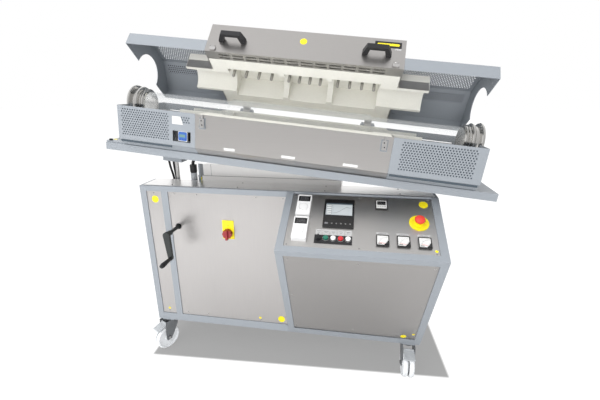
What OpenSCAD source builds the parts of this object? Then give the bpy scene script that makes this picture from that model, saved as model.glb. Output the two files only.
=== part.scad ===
// Split tube furnace on a tilting frame, with a wheeled base cabinet.
// Millimetres, +Z up. Written in stand coordinates (x from the middle of the base,
// y back from its front plane, z from the floor) and moved once to the origin.

/* [Base cabinet] */
// Width of the base cabinet
base_w = 1340; // [1200:10:1500]
// Depth of the wheeled chassis
base_d = 600; // [560:10:800]
// Height of the cabinet frame above the castors
base_h = 735; // [700:5:800]
// Depth of the tall front section
front_d = 132; // [120:1:150]
// Height of the low rear section above the castors
rear_h = 475; // [440:5:500]
// Square tube of the cabinet frame
post = 30; // [25:1:35]
// Height of the top front rail
top_rail = 25; // [20:1:30]
// Height of the bottom rails
bottom_rail = 40; // [30:1:50]
// Clear width of the narrow front panel
narrow_w = 75; // [60:1:90]
// Width of the post between the narrow and the wide panel
mid_post = 33; // [28:1:38]
// Sheet thickness of panels and covers
sheet = 2; // [1.5:0.1:3]
// Set-back of the panels from the frame's outer faces
panel_inset = 3; // [2:0.5:5]
// Gap round a panel in its frame
panel_gap = 0.4; // [0.3:0.1:0.8]

/* [Console] */
// Left edge of the console from the middle of the base
console_x = 37; // [20:1:60]
// Length of the sloping control panel
slope_len = 310; // [290:1:330]
// Slope of the control panel from the horizontal
slope_angle = 30; // [26:0.5:34]
// Width of the console's frame bars
border = 30; // [25:1:35]
// Height of the bar at the console's nose
nose_rail = 27; // [22:1:32]
// Height of the bar at the foot of the console
foot_rail = 46; // [40:1:55]

/* [Controls] */
// Size of the panel meters
meter = 48; // [44:1:52]
// Width of the instrument boxes
box_w = 58; // [50:1:64]
// Height of the instrument boxes
box_h = 108; // [100:1:116]
// How far the instrument boxes stand proud
box_proud = 20; // [14:1:26]
// Diameter of the dials on the instrument boxes
dial_d = 30; // [26:1:34]
// Width of the touch controller
touch_w = 123; // [110:1:130]
// Height of the touch controller
touch_h = 148; // [130:1:156]
// Diameter of the button caps
button_d = 20; // [18:1:22]
// Spacing of the buttons
button_pitch = 28.5; // [27:0.5:31]
// Travel of a button
button_travel = 3; // [2:0.5:4]
// Diameter of the emergency stop's yellow disc
estop_disc = 75; // [65:1:85]
// Diameter of the emergency stop's mushroom head
estop_d = 40; // [36:1:44]
// Diameter of the main switch's handle
switch_d = 45; // [40:1:50]
// Width of the main switch's yellow plate
plate_w = 56; // [50:1:64]
// Height of the main switch's yellow plate
plate_h = 92; // [84:1:98]

/* [Castors] */
// Diameter of the twin wheels
wheel_d = 125; // [100:1:125]
// Height of the castors from the floor to the frame
castor_h = 165; // [160:1:180]
// Width of one of the twin wheels
wheel_w = 22; // [18:1:24]
// Gap between the twin wheels
wheel_gap = 7; // [5:1:9]
// Trail of the wheel axle behind the swivel axis
trail = 44; // [38:1:48]
// Swivel axis from the ends and faces of the frame
castor_in = 50; // [45:1:60]
// Swivel angles at rest, front left, front right, rear left, rear right
swivel = [-28, 0, 12, -8];

/* [Tilting frame] */
// Length of the tilting frame
tilt_len = 1606; // [1560:2:1620]
// Front face of the tilting frame
tilt_front = -83; // [-90:1:-80]
// Rear face of the tilting frame
tilt_rear = 222; // [215:1:240]
// Height of the tilting frame's rails
tilt_rail = 30; // [26:1:34]
// Width of the long rails
tilt_rail_w = 50; // [40:1:60]
// Underside of the tilting frame above the pivot axis
tilt_under = 15; // [15:1:20]
// Tilt at rest, right end down
tilt_rest = 5.9; // [4:0.1:6.5]
// Pivot axis from the middle of the base
pivot_x = 57; // [50:1:64]
// Pivot axis above the cabinet frame's top
pivot_up = 86; // [84:1:92]
// Radius of the pivot shaft
pivot_r = 10; // [8:0.5:12]

/* [Furnace] */
// Length of the furnace housing
furnace_len = 1438; // [1400:2:1460]
// Length of the heated centre section
centre_len = 770; // [740:2:790]
// Front face of the housing
house_front = -110; // [-115:1:-105]
// Rear face of the housing
house_rear = 250; // [245:1:260]
// Height of the lower half up to the parting plane
lower_h = 165; // [160:1:175]
// Height of the lid over the heated section
lid_h = 134; // [130:1:140]
// Front height of the lid's end covers
cover_h = 52; // [46:1:60]
// Depth of the chamfer along the lower front edge
chamfer_d = 33; // [25:1:36]
// Height of the chamfer along the lower front edge
chamfer_h = 30; // [24:1:34]
// Tube axis behind the cabinet's front plane
axis_y = 70; // [68:1:72]
// Radius of the tube cut-outs in the end plates
cut_r = 80; // [78:1:82]
// Length of the heated chamber
chamber_len = 630; // [600:2:640]
// Radius of the chamber
chamber_r = 86; // [82:1:88]
// Radius of the insulated necks
neck_r = 60; // [58:1:62]
// Reach of the necks from the furnace's middle
neck_end = 505; // [480:1:520]
// Wall of the insulated necks
neck_wall = 12; // [10:1:14]
// Opening angle of the lid at rest
lid_open = 36.4; // [30:0.1:60]
// Hinge axis behind the cabinet's front plane
hinge_y = 290; // [285:1:300]
// Radius of the hinge pins
hinge_r = 6; // [5:0.5:7]

/* [Perforation] */
// Diameter of the holes in the perforated panels
hole_d = 6; // [4:0.5:7]
// Spacing of the holes
hole_pitch = 10.5; // [9:0.5:14]
// Plain edge round a perforated field
hole_edge = 16; // [12:1:30]

/* [Lid handles] */
// Length of a handle over its feet
handle_len = 108; // [96:1:120]
// How far a handle stands proud of the lid
handle_proud = 42; // [36:1:48]
// Width of a handle
handle_w = 20; // [16:1:24]
// Height of the handles above the parting plane
handle_up = 57; // [50:1:70]

/* [Work tube] */
// Outer radius of the work tube's ends
tube_r = 54; // [50:1:55]
// Outer radius of its wide middle
tube_wide_r = 62; // [60:1:66]
// Wall of the work tube
tube_wall = 4; // [3:0.5:5]
// Length of the wide middle
wide_len = 580; // [540:2:600]
// Radius of the outer flange disc
disc_r = 77; // [70:1:77]
// Distance of the left outer disc from the furnace's middle
left_disc = 745; // [735:1:750]
// Distance of the right outer disc from the furnace's middle
right_disc = 730; // [725:1:750]

/* [Lift] */
// Spindle axis from the middle of the base
spindle_x = -556; // [-566:1:-546]
// Spindle axis behind the cabinet's front plane
spindle_y = 158; // [156:1:164]
// Radius of the spindle
spindle_r = 9; // [8:0.5:10]
// Radius of the ball on top of the spindle
ball_r = 16; // [14:1:18]
// Crank axis from the middle of the base
crank_x = -497; // [-505:1:-490]
// Height of the crank axis above the castors
crank_up = 538; // [530:1:545]
// Length of the crank arm between its axes
crank_len = 114; // [100:1:125]
// Diameters of the two thin conduits and the thick one
conduit_d = [11, 11, 15];

/* [Hidden] */

$fn = 48;
grey = [0.64, 0.68, 0.72];
steel = [0.72, 0.71, 0.70];
dark = [0.12, 0.12, 0.13];
white = [0.93, 0.93, 0.93];
brick = [0.93, 0.92, 0.88];

// Clearance between a shaft and its bore, and between parts that move past each other
fit = 0.05;
gap = 0.4;
// Seam between flat panels and blocks that meet edge to edge
seam = 0.2;
tiny = 0.01;

// Cabinet
frame_z = castor_h;
top_z = castor_h + base_h;
rear_top_z = castor_h + rear_h;
half_w = base_w / 2;
nose_y = -slope_len * cos(slope_angle);
nose_z = top_z - slope_len * sin(slope_angle);
lower_len = norm([nose_y, nose_z - frame_z]);
lower_angle = 90 + atan(-nose_y / (nose_z - frame_z));
panel_x0 = console_x + border;
opening_top = top_z - top_rail;
opening_bottom = frame_z + bottom_rail;
narrow_x0 = -half_w + post;
wide_x0 = narrow_x0 + narrow_w + mid_post;
crank_z = frame_z + crank_up;

// Furnace, in the tilting frame's coordinates with the pivot axis at the origin
pivot_z = top_z + pivot_up;
tilt_half = tilt_len / 2;
tilt_top = tilt_under + tilt_rail;
parting = tilt_top + lower_h;
lid_top = parting + lid_h;
furnace_half = furnace_len / 2;
centre_half = centre_len / 2;
chamber_half = chamber_len / 2;
neck_out = neck_r + neck_wall;
lug_reach = tilt_half + 10;
lug_plate = 5;

// The origin lies under the middle of the part's box
left_reach = pivot_x - lug_reach * cos(tilt_rest) + tilt_top * sin(tilt_rest);
right_reach = pivot_x + tilt_half * cos(tilt_rest) + tilt_top * sin(tilt_rest);
origin_x = (left_reach + right_reach) / 2;
origin_y = (nose_y + base_d) / 2;

module stand() translate([-origin_x, -origin_y, 0]) children();
module on_slope() translate([0, 0, top_z]) rotate([slope_angle, 0, 0]) children();
module on_lower() translate([0, nose_y, nose_z]) rotate([lower_angle, 0, 0]) children();
module on_tilt() stand() translate([pivot_x, 0, pivot_z]) rotate([0, tilt_rest, 0]) children();
module on_lid() on_tilt() translate([0, hinge_y, parting]) rotate([-lid_open, 0, 0])
    translate([0, -hinge_y, -parting]) children();
module bar(from, to) translate(from) cube([to.x - from.x, to.y - from.y, to.z - from.z]);
// A profile in the YZ plane drawn out along X from x0 to x1
module along_x(x0, x1) translate([x0, 0, 0]) rotate([90, 0, 90])
    linear_extrude(x1 - x0) children();
// A profile in the XZ plane drawn out along Y from y0 to y1
module along_y(y0, y1) translate([0, y1, 0]) rotate([90, 0, 0])
    linear_extrude(y1 - y0) children();
module round_rect(w, h, r) {
    translate([r, 0]) square([w - 2 * r, h]);
    translate([0, r]) square([w, h - 2 * r]);
    for (x = [r, w - r], y = [r, h - r]) translate([x, y]) circle(r);
}
module pill(w, h, t, r) linear_extrude(t) translate([-w / 2, -h / 2]) round_rect(w, h, r);

// Pedestal behind the front section
plate_edge = 12;
ped_x0 = -392;
ped_x1 = 268;
ped_y1 = 330;
ped_top = pivot_z - 1;
well_half = 36;
well_y = [front_d + 13, front_d + 133];
well_depth = 36;
lip = 23;
slope_x = pivot_x + 55;
slope_drop = 32;

// Controls: places along the panel and down its slope
switch_x = -247;
switch_z = frame_z + 521;
estop_x = 580;
estop_s = 137;
button_s = 238;
function button_x(i) = 197 + i * button_pitch;

// Triangle of the console's side, and the same triangle moved in by d on every side
side = [[0, top_z], [nose_y, nose_z], [0, frame_z]];
side_len = [norm(side[1] - side[2]), norm(side[2] - side[0]), norm(side[0] - side[1])];
side_sum = side_len[0] + side_len[1] + side_len[2];
side_centre = (side_len[0] * side[0] + side_len[1] * side[1] + side_len[2] * side[2]) / side_sum;
side_inradius = -nose_y * base_h / side_sum;
function side_inset(d) =
    [for (p = side) side_centre + (p - side_centre) * (side_inradius - d) / side_inradius];

// ---- Cabinet ----
module console_side(x0) along_x(x0, x0 + border) difference() {
    polygon(side);
    polygon(side_inset(border));
}

// Three frames bolted together: the tall front section, the low chassis, notched for the
// spindle, and the console
module base_frame() color(grey) stand() {
    for (x = [-half_w, half_w - post]) {
        for (y = [0, front_d - post]) bar([x, y, frame_z], [x + post, y + post, top_z]);
        bar([x, post, opening_top], [x + post, front_d - post, top_z]);
        bar([x, post, frame_z], [x + post, front_d - post, opening_bottom]);
    }
    bar([wide_x0 - mid_post, 0, opening_bottom], [wide_x0, post, opening_top]);
    bar([console_x, 0, opening_bottom], [console_x + border, post, opening_top]);
    for (y = [0, front_d - post]) {
        bar([-half_w + post, y, frame_z], [half_w - post, y + post, opening_bottom]);
        bar([-half_w + post, y, opening_top], [half_w - post, y + post, top_z]);
    }
    difference() {
        chassis_frame(front_d + seam);
        translate([spindle_x, spindle_y, opening_bottom]) cylinder(r = spindle_r + 5, h = base_h);
    }
    translate([0, -seam, 0]) console_frame();
}

module chassis_frame(chassis_y) {
    for (x = [-half_w, half_w - post]) {
        for (y = [chassis_y, base_d - post]) bar([x, y, frame_z], [x + post, y + post, rear_top_z]);
        bar([x, chassis_y, frame_z], [x + post, base_d - post, opening_bottom]);
        bar([x, chassis_y, rear_top_z - post], [x + post, base_d - post, rear_top_z]);
    }
    for (y = [chassis_y, base_d - post]) {
        bar([-half_w + post, y, rear_top_z - post], [half_w - post, y + post, rear_top_z]);
        bar([-half_w + post, y, frame_z], [half_w - post, y + post, opening_bottom]);
    }
}

// Two side triangles joined by bars at the nose and the foot
module console_frame() {
    inner = side_inset(border);
    up = (side[0] - side[1]) / side_len[2];
    down = (side[2] - side[1]) / side_len[0];
    foot = side[2] - down * foot_rail;
    console_side(console_x);
    console_side(half_w - border);
    along_x(panel_x0 - 5, half_w - border + 5) {
        polygon([side[1], side[1] + up * nose_rail, inner[1], side[1] + down * nose_rail]);
        polygon([side[2], foot, [0, foot.y]]);
    }
}

// A sheet with a turned edge behind it, in the plane z = 0 of its own coordinates
module sheet_panel(x0, y0, x1, y1) {
    g = panel_gap;
    translate([x0 + g, y0 + g, -panel_inset - sheet])
        cube([x1 - x0 - 2 * g, y1 - y0 - 2 * g, sheet]);
}
module on_front() rotate([90, 0, 0]) children();

module front_panels() color(steel) stand() on_front() {
    sheet_panel(narrow_x0, opening_bottom, narrow_x0 + narrow_w, opening_top);
    difference() {
        sheet_panel(wide_x0, opening_bottom, console_x, opening_top);
        translate([crank_x, crank_z, -50]) cylinder(r = 15, h = 100);
        translate([switch_x, switch_z, -50]) cylinder(r = 10, h = 100);
    }
}

module console_front_panel() color(steel) stand() on_lower()
    sheet_panel(panel_x0, -lower_len + foot_rail, half_w - border, -nose_rail);

module control_panel() color(steel) stand() on_slope() difference() {
    sheet_panel(panel_x0, -slope_len + nose_rail, half_w - border, -9);
    for (i = [0:4]) translate([button_x(i), -button_s, -50]) cylinder(r = 6, h = 100);
    translate([estop_x, -estop_s, -50]) cylinder(r = 8, h = 100);
}

module side_panels() color(steel) stand() {
    for (x = [-half_w + panel_inset, half_w - panel_inset - sheet]) {
        bar([x, post + panel_gap, opening_bottom + panel_gap],
            [x + sheet, front_d - post - panel_gap, opening_top - panel_gap]);
        bar([x, front_d + post + seam + panel_gap, opening_bottom + panel_gap],
            [x + sheet, base_d - post - panel_gap, rear_top_z - post - panel_gap]);
    }
    for (x = [console_x + panel_inset, half_w - panel_inset - sheet])
        along_x(x, x + sheet) polygon(side_inset(border + panel_gap));
}

module rear_panel() color(steel) stand() difference() {
    rear_sheets();
    translate([crank_x, front_d - 10, crank_z]) rotate([-90, 0, 0]) cylinder(r = 15, h = 20);
}
module rear_sheets() {
    bar([-half_w + post + panel_gap, base_d - panel_inset - sheet, opening_bottom + panel_gap],
        [half_w - post - panel_gap, base_d - panel_inset, rear_top_z - post - panel_gap]);
    bar([-half_w + post + panel_gap, front_d - panel_inset - sheet, rear_top_z + panel_gap],
        [half_w - post - panel_gap, front_d - panel_inset, opening_top - panel_gap]);
}

module top_plate() color(steel) stand()
    bar([-half_w + plate_edge, plate_edge, top_z],
        [half_w - plate_edge, front_d - 0.5, top_z + sheet]);

module chassis_cover() color(steel) stand() difference() {
    bar([-half_w + plate_edge, front_d + 0.5, rear_top_z],
        [half_w - plate_edge, base_d - plate_edge, rear_top_z + sheet]);
    translate([spindle_x, spindle_y, rear_top_z - 1]) cylinder(r = spindle_r + 5, h = sheet + 2);
}

module bottom_tray() color(steel) stand()
    for (y = [[post, front_d - post], [front_d + post + 2 * seam, base_d - post]])
        bar([-half_w + post, y[0], frame_z + 4], [half_w - post, y[1], frame_z + 4 + sheet]);

module pedestal() color(steel) stand() {
    base_z = rear_top_z + sheet;
    y0 = front_d + 0.5;
    difference() {
        along_y(y0, ped_y1) polygon([[ped_x0, base_z], [ped_x1, base_z],
            [ped_x1, ped_top - slope_drop], [slope_x, ped_top], [ped_x0, ped_top]]);
        bar([pivot_x - well_half, well_y[0], ped_top - well_depth],
            [pivot_x + well_half, well_y[1], ped_top + 1]);
    }
    bar([ped_x0 - 20, front_d - 4, top_z + sheet], [ped_x1, y0, top_z + sheet + lip]);
    bar([ped_x0 - 20, y0, base_z], [ped_x0, y0 + 20, pivot_z - 16]);
}

// Plummer blocks in the well of the pedestal carry the pivot shaft
module pivot_bearings() color(dark) stand() translate([pivot_x, 0, pivot_z])
    for (y = [well_y[0] + 2, well_y[1] - 22]) difference() {
        union() {
            bar([-well_half + 4, y, -well_depth - 1], [well_half - 4, y + 20, -well_depth + 11]);
            bar([-16, y, -well_depth], [16, y + 20, 0]);
            translate([0, y + 20, 0]) rotate([90, 0, 0]) cylinder(r = 14, h = 20);
        }
        translate([0, y + 21, 0]) rotate([90, 0, 0]) cylinder(r = pivot_r + fit, h = 22);
    }

// ---- Castors ----
castor_xy = [[-1, 0], [1, 0], [-1, 1], [1, 1]];
castor_y = [castor_in - 15, base_d - 35];
wheel_r = wheel_d / 2;
axle_r = 6;
swivel_r = 8;
crown_z = castor_h - 8;
half_wheels = wheel_w + wheel_gap / 2;
function castor_place(i) = [castor_xy[i].x * (half_w - castor_in), castor_y[castor_xy[i].y], 0];
module at_castor(i) stand() translate(castor_place(i)) rotate([0, 0, swivel[i]]) children();

module castor_plates() color(grey) stand() for (i = [0:3]) translate(castor_place(i)) {
    translate([-34, -34, castor_h - 5]) linear_extrude(5) round_rect(68, 68, 8);
    translate([0, 0, crown_z - 14]) cylinder(r = swivel_r, h = 14 + tiny);
    translate([0, 0, crown_z - 18]) cylinder(r = swivel_r + 5, h = 4);
    translate([0, 0, crown_z]) cylinder(r = 22, h = 4);
}

module castor_fork(i) color(grey) at_castor(i) difference() {
    union() {
        translate([0, 0, crown_z - 10]) cylinder(r = 26, h = 10 - gap);
        for (s = [-1, 1]) along_x(s * (half_wheels + 3) - 1.5, s * (half_wheels + 3) + 1.5)
            polygon([[24, crown_z - gap], [i < 2 ? pedal_y - 10 : -30, crown_z - gap],
                [-trail - 16, wheel_r + 4],
                [-trail - 12, wheel_r - 14], [-trail + 12, wheel_r - 14], [10, crown_z - 40]]);
        bar([-half_wheels - 4.5, -28, crown_z - 4], [half_wheels + 4.5, 22, crown_z - gap]);
        translate([-half_wheels - 9, -trail, wheel_r]) rotate([0, 90, 0])
            cylinder(r = axle_r, h = 2 * half_wheels + 18);
        for (x = [-half_wheels - 9, half_wheels + 4.5]) translate([x, -trail, wheel_r])
            rotate([0, 90, 0]) cylinder(r = 9, h = 4.5);
        if (i < 2) translate([-half_wheels - 3, pedal_y, pedal_z]) rotate([0, 90, 0])
            cylinder(r = pin_r, h = 2 * half_wheels + 6);
    }
    translate([0, 0, crown_z - 20]) cylinder(r = swivel_r + fit, h = 30);
}

module wheel_profile() polygon([[axle_r + fit, -wheel_w / 2], [18, -wheel_w / 2],
    [20, -wheel_w / 2 + 4], [wheel_r - 12, -wheel_w / 2 + 4], [wheel_r - 9, -wheel_w / 2],
    [wheel_r - 4, -wheel_w / 2], [wheel_r, -wheel_w / 2 + 5], [wheel_r, wheel_w / 2 - 5],
    [wheel_r - 4, wheel_w / 2], [wheel_r - 9, wheel_w / 2], [wheel_r - 12, wheel_w / 2 - 4],
    [20, wheel_w / 2 - 4], [18, wheel_w / 2], [axle_r + fit, wheel_w / 2]]);
module castor_wheels(i) color(white) at_castor(i) translate([0, -trail, wheel_r])
    rotate([0, 90, 0]) {
        for (s = [-1, 1]) translate([0, 0, s * (wheel_w + wheel_gap) / 2])
            rotate_extrude($fn = 96) wheel_profile();
        difference() {
            cylinder(r = 14, h = wheel_gap, center = true);
            cylinder(r = axle_r + fit, h = 2 * wheel_gap, center = true);
        }
    }

// The pedal turns on a pin between the fork's legs, in front of the crown
pedal_y = -trail;
pedal_z = castor_h - 27;
pin_r = 3;
module brake_pedal(i) color(grey) at_castor(i) difference() {
    union() {
        along_x(-half_wheels, half_wheels) polygon([[pedal_y, pedal_z + 5],
            [pedal_y - 54, pedal_z - 12], [pedal_y - 53, pedal_z - 17], [pedal_y, pedal_z - 1]]);
        translate([-half_wheels, pedal_y, pedal_z]) rotate([0, 90, 0])
            cylinder(r = 6, h = 2 * half_wheels);
    }
    translate([-half_wheels - 1, pedal_y, pedal_z]) rotate([0, 90, 0])
        cylinder(r = pin_r + fit, h = 2 * half_wheels + 2);
}

// ---- Controls on the console ----
panel_z = -panel_inset;
module at_panel(x, s) on_slope() translate([x, -s, panel_z]) children();

module instrument_boxes() color(white) stand() for (s = [84, 203]) at_panel(123, s)
    difference() {
        translate([0, 0, 0]) pill(box_w, box_h, box_proud, 3);
        translate([0, box_h / 2 - 22, box_proud - 1.5]) pill(box_w - 8, 30, 3, 1);
        translate([0, -14, box_proud - 3]) cylinder(r = dial_d / 2 + 1, h = 4);
        translate([0, -14, box_proud - 13]) cylinder(r = 3 + fit, h = 14);
    }
module dial(s) color(white) stand() at_panel(123, s) translate([0, -14, box_proud - 3 + gap]) {
    cylinder(r = dial_d / 2, h = 4);
    translate([0, 0, -9]) cylinder(r = 3, h = 9 + tiny);
    translate([-1, dial_d / 2 - 8, 4]) cube([2, 7, 0.6]);
}
module dial_upper() dial(84);
module dial_lower() dial(203);

module touch_controller() color(dark) stand() at_panel(269, 110) difference() {
    pill(touch_w, touch_h, 6, 3);
    translate([0, 21, 5]) pill(108, 66, 2, 1);
}

module panel_meters() color(dark) stand() {
    for (p = [[439, 55], [439, 233], [515, 233], [591, 233]]) at_panel(p.x, p.y) difference() {
        pill(meter, meter, 8, 2);
        translate([0, 0, 7]) pill(meter - 7, meter - 7, 2, 1);
    }
}

strip_top = 3;
module button_strip() color(dark) stand() difference() {
    at_panel(button_x(2), button_s) translate([-72, -22, 0]) cube([144, 38, strip_top]);
    for (i = [0:4]) at_panel(button_x(i), button_s) translate([0, 0, -1]) cylinder(r = 5 + fit, h = 6);
}
module button(i) at_panel(button_x(i), button_s)
    translate([0, 0, strip_top + button_travel + 0.5]) {
        difference() {
            cylinder(r = button_d / 2, h = 5);
            translate([0, 0, 5]) rotate_extrude() polygon([[8.5, -1.2], [11, -1.2], [11, 1], [8.5, 1]]);
        }
        translate([0, 0, -strip_top - button_travel - 12])
            cylinder(r = 5, h = strip_top + button_travel + 12 + tiny);
    }
module selector_knob() color(dark) stand() at_panel(button_x(0), button_s)
    translate([0, 0, strip_top + gap]) {
        cylinder(r = button_d / 2, h = 6);
        translate([-3, -button_d / 2 + 0.5, 6 - tiny]) cube([6, button_d - 1, 8]);
        translate([0, 0, -strip_top - 12]) cylinder(r = 5, h = strip_top + 12 + tiny);
    }
module green_button() color([0.05, 0.45, 0.32]) stand() button(1);
module white_button_1() color(white) stand() button(2);
module red_button() color([0.8, 0.1, 0.12]) stand() button(3);
module white_button_2() color(white) stand() button(4);

estop_travel = 4;
module estop_collar() color([0.95, 0.9, 0.05]) stand() at_panel(estop_x, estop_s) difference() {
    union() {
        cylinder(r = estop_disc / 2, h = 2.5);
        cylinder(r = 15, h = 10);
    }
    translate([0, 0, -1]) cylinder(r = 7 + fit, h = 12);
}
module estop_mushroom() color([0.9, 0.15, 0.12]) stand() at_panel(estop_x, estop_s)
    rotate_extrude() polygon([[0, -14], [7, -14], [7, 15], [13, 15], [estop_d / 2 - 1, 19],
        [estop_d / 2, 23], [estop_d / 2 - 2, 28], [13, 32], [0, 34]]);

module main_switch_plate() color([0.95, 0.88, 0.1]) stand() translate([switch_x, 0, switch_z + 15])
    on_front() difference() {
        union() {
            translate([0, 0, -panel_inset]) pill(plate_w, plate_h, 3, 2);
            translate([0, -15, 0]) translate([0, 0, -panel_inset]) cylinder(r = 25, h = 7);
        }
        translate([0, -15, -10]) cylinder(r = 6 + fit, h = 20);
    }
module main_switch_handle() color([0.6, 0.08, 0.1]) stand() translate([switch_x, 0, switch_z])
    on_front() {
        translate([0, 0, 4 + gap]) difference() {
            cylinder(r = switch_d / 2, h = 18);
            for (a = [0:45:315]) rotate([0, 0, a + 22.5]) translate([switch_d / 2 + 1, 0, 3])
                cylinder(r = 4, h = 20);
        }
        translate([-5, -switch_d / 2 - 3, 4 + gap + 10]) cube([10, switch_d + 1, 18]);
        translate([0, 0, -12]) cylinder(r = 6, h = 12 + 5);
    }

// ---- Lift ----
// The ball on the spindle bears on the pad in the lift bracket; pad_z is the pad's height
// in the tilting frame's coordinates
pad_z = 5;
arm = pivot_x - spindle_x;
ball_z = pivot_z + (pad_z + arm * sin(tilt_rest) - ball_r - gap) / cos(tilt_rest);
spindle_low = 606;
jack_z0 = rear_top_z + sheet;
module screw_jack() color(dark) stand() difference() {
    union() {
        bar([spindle_x - 36, front_d + 2, jack_z0], [crank_x + 30, spindle_y + 32, jack_z0 + 10]);
        bar([spindle_x - 26, front_d + 2, jack_z0], [crank_x + 24, spindle_y + 26, crank_z + 30]);
        translate([spindle_x, spindle_y, crank_z + 29]) cylinder(r = 20, h = 16);
    }
    translate([spindle_x, spindle_y, jack_z0 - 10]) cylinder(r = spindle_r + fit, h = 300);
    translate([crank_x, front_d - 10, crank_z]) rotate([-90, 0, 0]) cylinder(r = 8 + fit, h = 120);
}
module lift_spindle() color(steel) stand() translate([spindle_x, spindle_y, 0]) {
    translate([0, 0, spindle_low]) cylinder(r = spindle_r, h = ball_z - spindle_low);
    translate([0, 0, ball_z]) sphere(r = ball_r);
}
crank_y = -100;
crank_lean = 3.5;
module crank_arm() color(dark) stand() {
    translate([crank_x, spindle_y + 20, crank_z]) rotate([90, 0, 0])
        cylinder(r = 8, h = spindle_y + 20 - crank_y);
    translate([crank_x, crank_y + 22, crank_z]) rotate([90, 0, 0]) cylinder(r = 12, h = 22);
    translate([crank_x, crank_y, crank_z]) rotate([0, -crank_lean, 0]) {
        hull() {
            rotate([90, 0, 0]) cylinder(r = 15, h = 14, $fn = 32);
            translate([0, 0, -crank_len]) rotate([90, 0, 0]) cylinder(r = 10, h = 14, $fn = 32);
        }
        translate([0, -13, -crank_len]) rotate([90, 0, 0]) cylinder(r = 4, h = 80);
    }
}
module crank_grip() color(dark) stand() translate([crank_x, crank_y, crank_z])
    rotate([0, -crank_lean, 0]) translate([0, -14 - gap, -crank_len]) rotate([90, 0, 0])
        rotate_extrude() polygon([[4 + fit, 0], [9, 0], [8, 10], [10, 40], [11.5, 62], [9, 74],
            [6, 76], [4 + fit, 76]]);

// Conduits from glands on the chassis cover up to the tilting frame
conduit_x = [-602, -584];
// Depth of the plane in which the two conduits hang
conduit_y = 206;
module conduit_glands() color(dark) stand() {
    for (x = conduit_x) translate([x, conduit_y, rear_top_z + sheet]) {
        cylinder(r = 13, h = 8, $fn = 6);
        cylinder(r = 10, h = 20);
    }
    // Connector with its grey barrel and black nut, standing on the chassis cover
    bar([-463, 144, rear_top_z + sheet], [-446, 176, crank_z + 168]);
    bar([-488, 144, crank_z + 168], [-446, 176, crank_z + 180]);
    translate([-469, 156, crank_z + 180]) {
        cylinder(r = 15, h = 56);
        translate([0, 0, 55]) cylinder(r = 17, h = 36);
    }
    translate([-437, 150, rear_top_z + sheet]) cylinder(r = 6, h = 282);
}

// A round tube swept along points that run mostly upwards
function ring(p, dir, r, n) = let(t = dir / norm(dir), u = cross([0, 1, 0], t), a = u / norm(u),
    b = cross(t, a)) [for (k = [0:n - 1]) p + r * (cos(360 * k / n) * a + sin(360 * k / n) * b)];
module swept(path, d, n = 10) {
    m = len(path);
    points = [for (i = [0:m - 1]) each ring(path[i],
        path[min(i + 1, m - 1)] - path[max(i - 1, 0)], d / 2, n)];
    polyhedron(points, concat(
        [[for (k = [0:n - 1]) k]],
        [[for (k = [0:n - 1]) (m - 1) * n + n - 1 - k]],
        [for (i = [0:m - 2]) for (k = [0:n - 1])
            [i * n + k, (i + 1) * n + k, (i + 1) * n + (k + 1) % n, i * n + (k + 1) % n]]));
}
conduit_routes = [
    [[-602, conduit_y, 662], [-602, conduit_y, 690], [-602, conduit_y, 720], [-603, conduit_y, 760], [-604, conduit_y, 800],
     [-605, conduit_y, 840], [-607, conduit_y, 875], [-611, conduit_y, 905], [-617, conduit_y, 930], [-622, conduit_y, 955],
     [-625, conduit_y, 980], [-625, conduit_y, 1000], [-624.2, conduit_y, 1018], [-621.2, conduit_y, 1047.7]],
    [[-584, conduit_y, 662], [-584, conduit_y, 690], [-585, conduit_y, 720], [-587, conduit_y, 760], [-590, conduit_y, 800],
     [-592, conduit_y, 840], [-594, conduit_y, 875], [-596, conduit_y, 905], [-598, conduit_y, 930], [-600, conduit_y, 955],
     [-600.5, conduit_y, 980], [-600, conduit_y, 1000], [-599.2, conduit_y, 1016], [-596.3, conduit_y, 1045.1]],
    [[-469, 156, 974], [-469, 156, 982], [-465, 156, 992], [-458, 156, 1004], [-452, 156, 1020],
     [-449, 156, 1036], [-447.2, 156, 1053], [-444.2, 156, 1082.4]]];
module conduits() color(dark) stand() for (i = [0:2]) swept(conduit_routes[i], conduit_d[i]);

// ---- Tilting frame ----
module tilting_frame() color(grey) on_tilt() difference() {
    union() {
        bar([-tilt_half, tilt_front, tilt_under], [tilt_half, tilt_rear, tilt_top]);
        // Lugs that hang from the middle cross member and hold the pivot shaft
        for (y = [well_y[0] + 30, well_y[1] - 40]) {
            bar([-16, y, 0], [16, y + 12, tilt_under + 1]);
            translate([0, y + 12, 0]) rotate([90, 0, 0]) cylinder(r = 16, h = 12);
        }
        translate([0, well_y[1] - 1, 0]) rotate([90, 0, 0])
            cylinder(r = pivot_r, h = well_y[1] - well_y[0] - 2);
    }
    for (x = [[-560, -40], [40, furnace_half - 40]])
        bar([x[0], tilt_front + tilt_rail_w, tilt_under - 1],
            [x[1], tilt_rear - tilt_rail_w, tilt_top + 1]);
}
module rounded_lug() linear_extrude(lug_plate) difference() {
    union() {
        translate([-lug_reach, -75]) round_rect(70, 100, 14);
        translate([-lug_reach + 40, -75]) square([50, 100]);
    }
    for (y = [-58, 8]) translate([-lug_reach + 16, y]) circle(5);
}

bracket_x = -617;
bracket_half = 48;
bracket_drop = 72;
module lift_bracket() color(steel) on_tilt() {
    y0 = spindle_y - 30;
    y1 = spindle_y + 30;
    difference() {
        bar([bracket_x - bracket_half, y0, tilt_under - bracket_drop],
            [bracket_x + bracket_half, y1, tilt_under]);
        bar([bracket_x - 34, y0 + 6, tilt_under - bracket_drop - 1],
            [bracket_x + 34, y1 - 6, pad_z]);
    }
    for (x = [-681, -656]) translate([x, conduit_y, -8]) cylinder(r = 10, h = tilt_under + 8);
    translate([0, 0, tilt_top]) rounded_lug();
}

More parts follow.
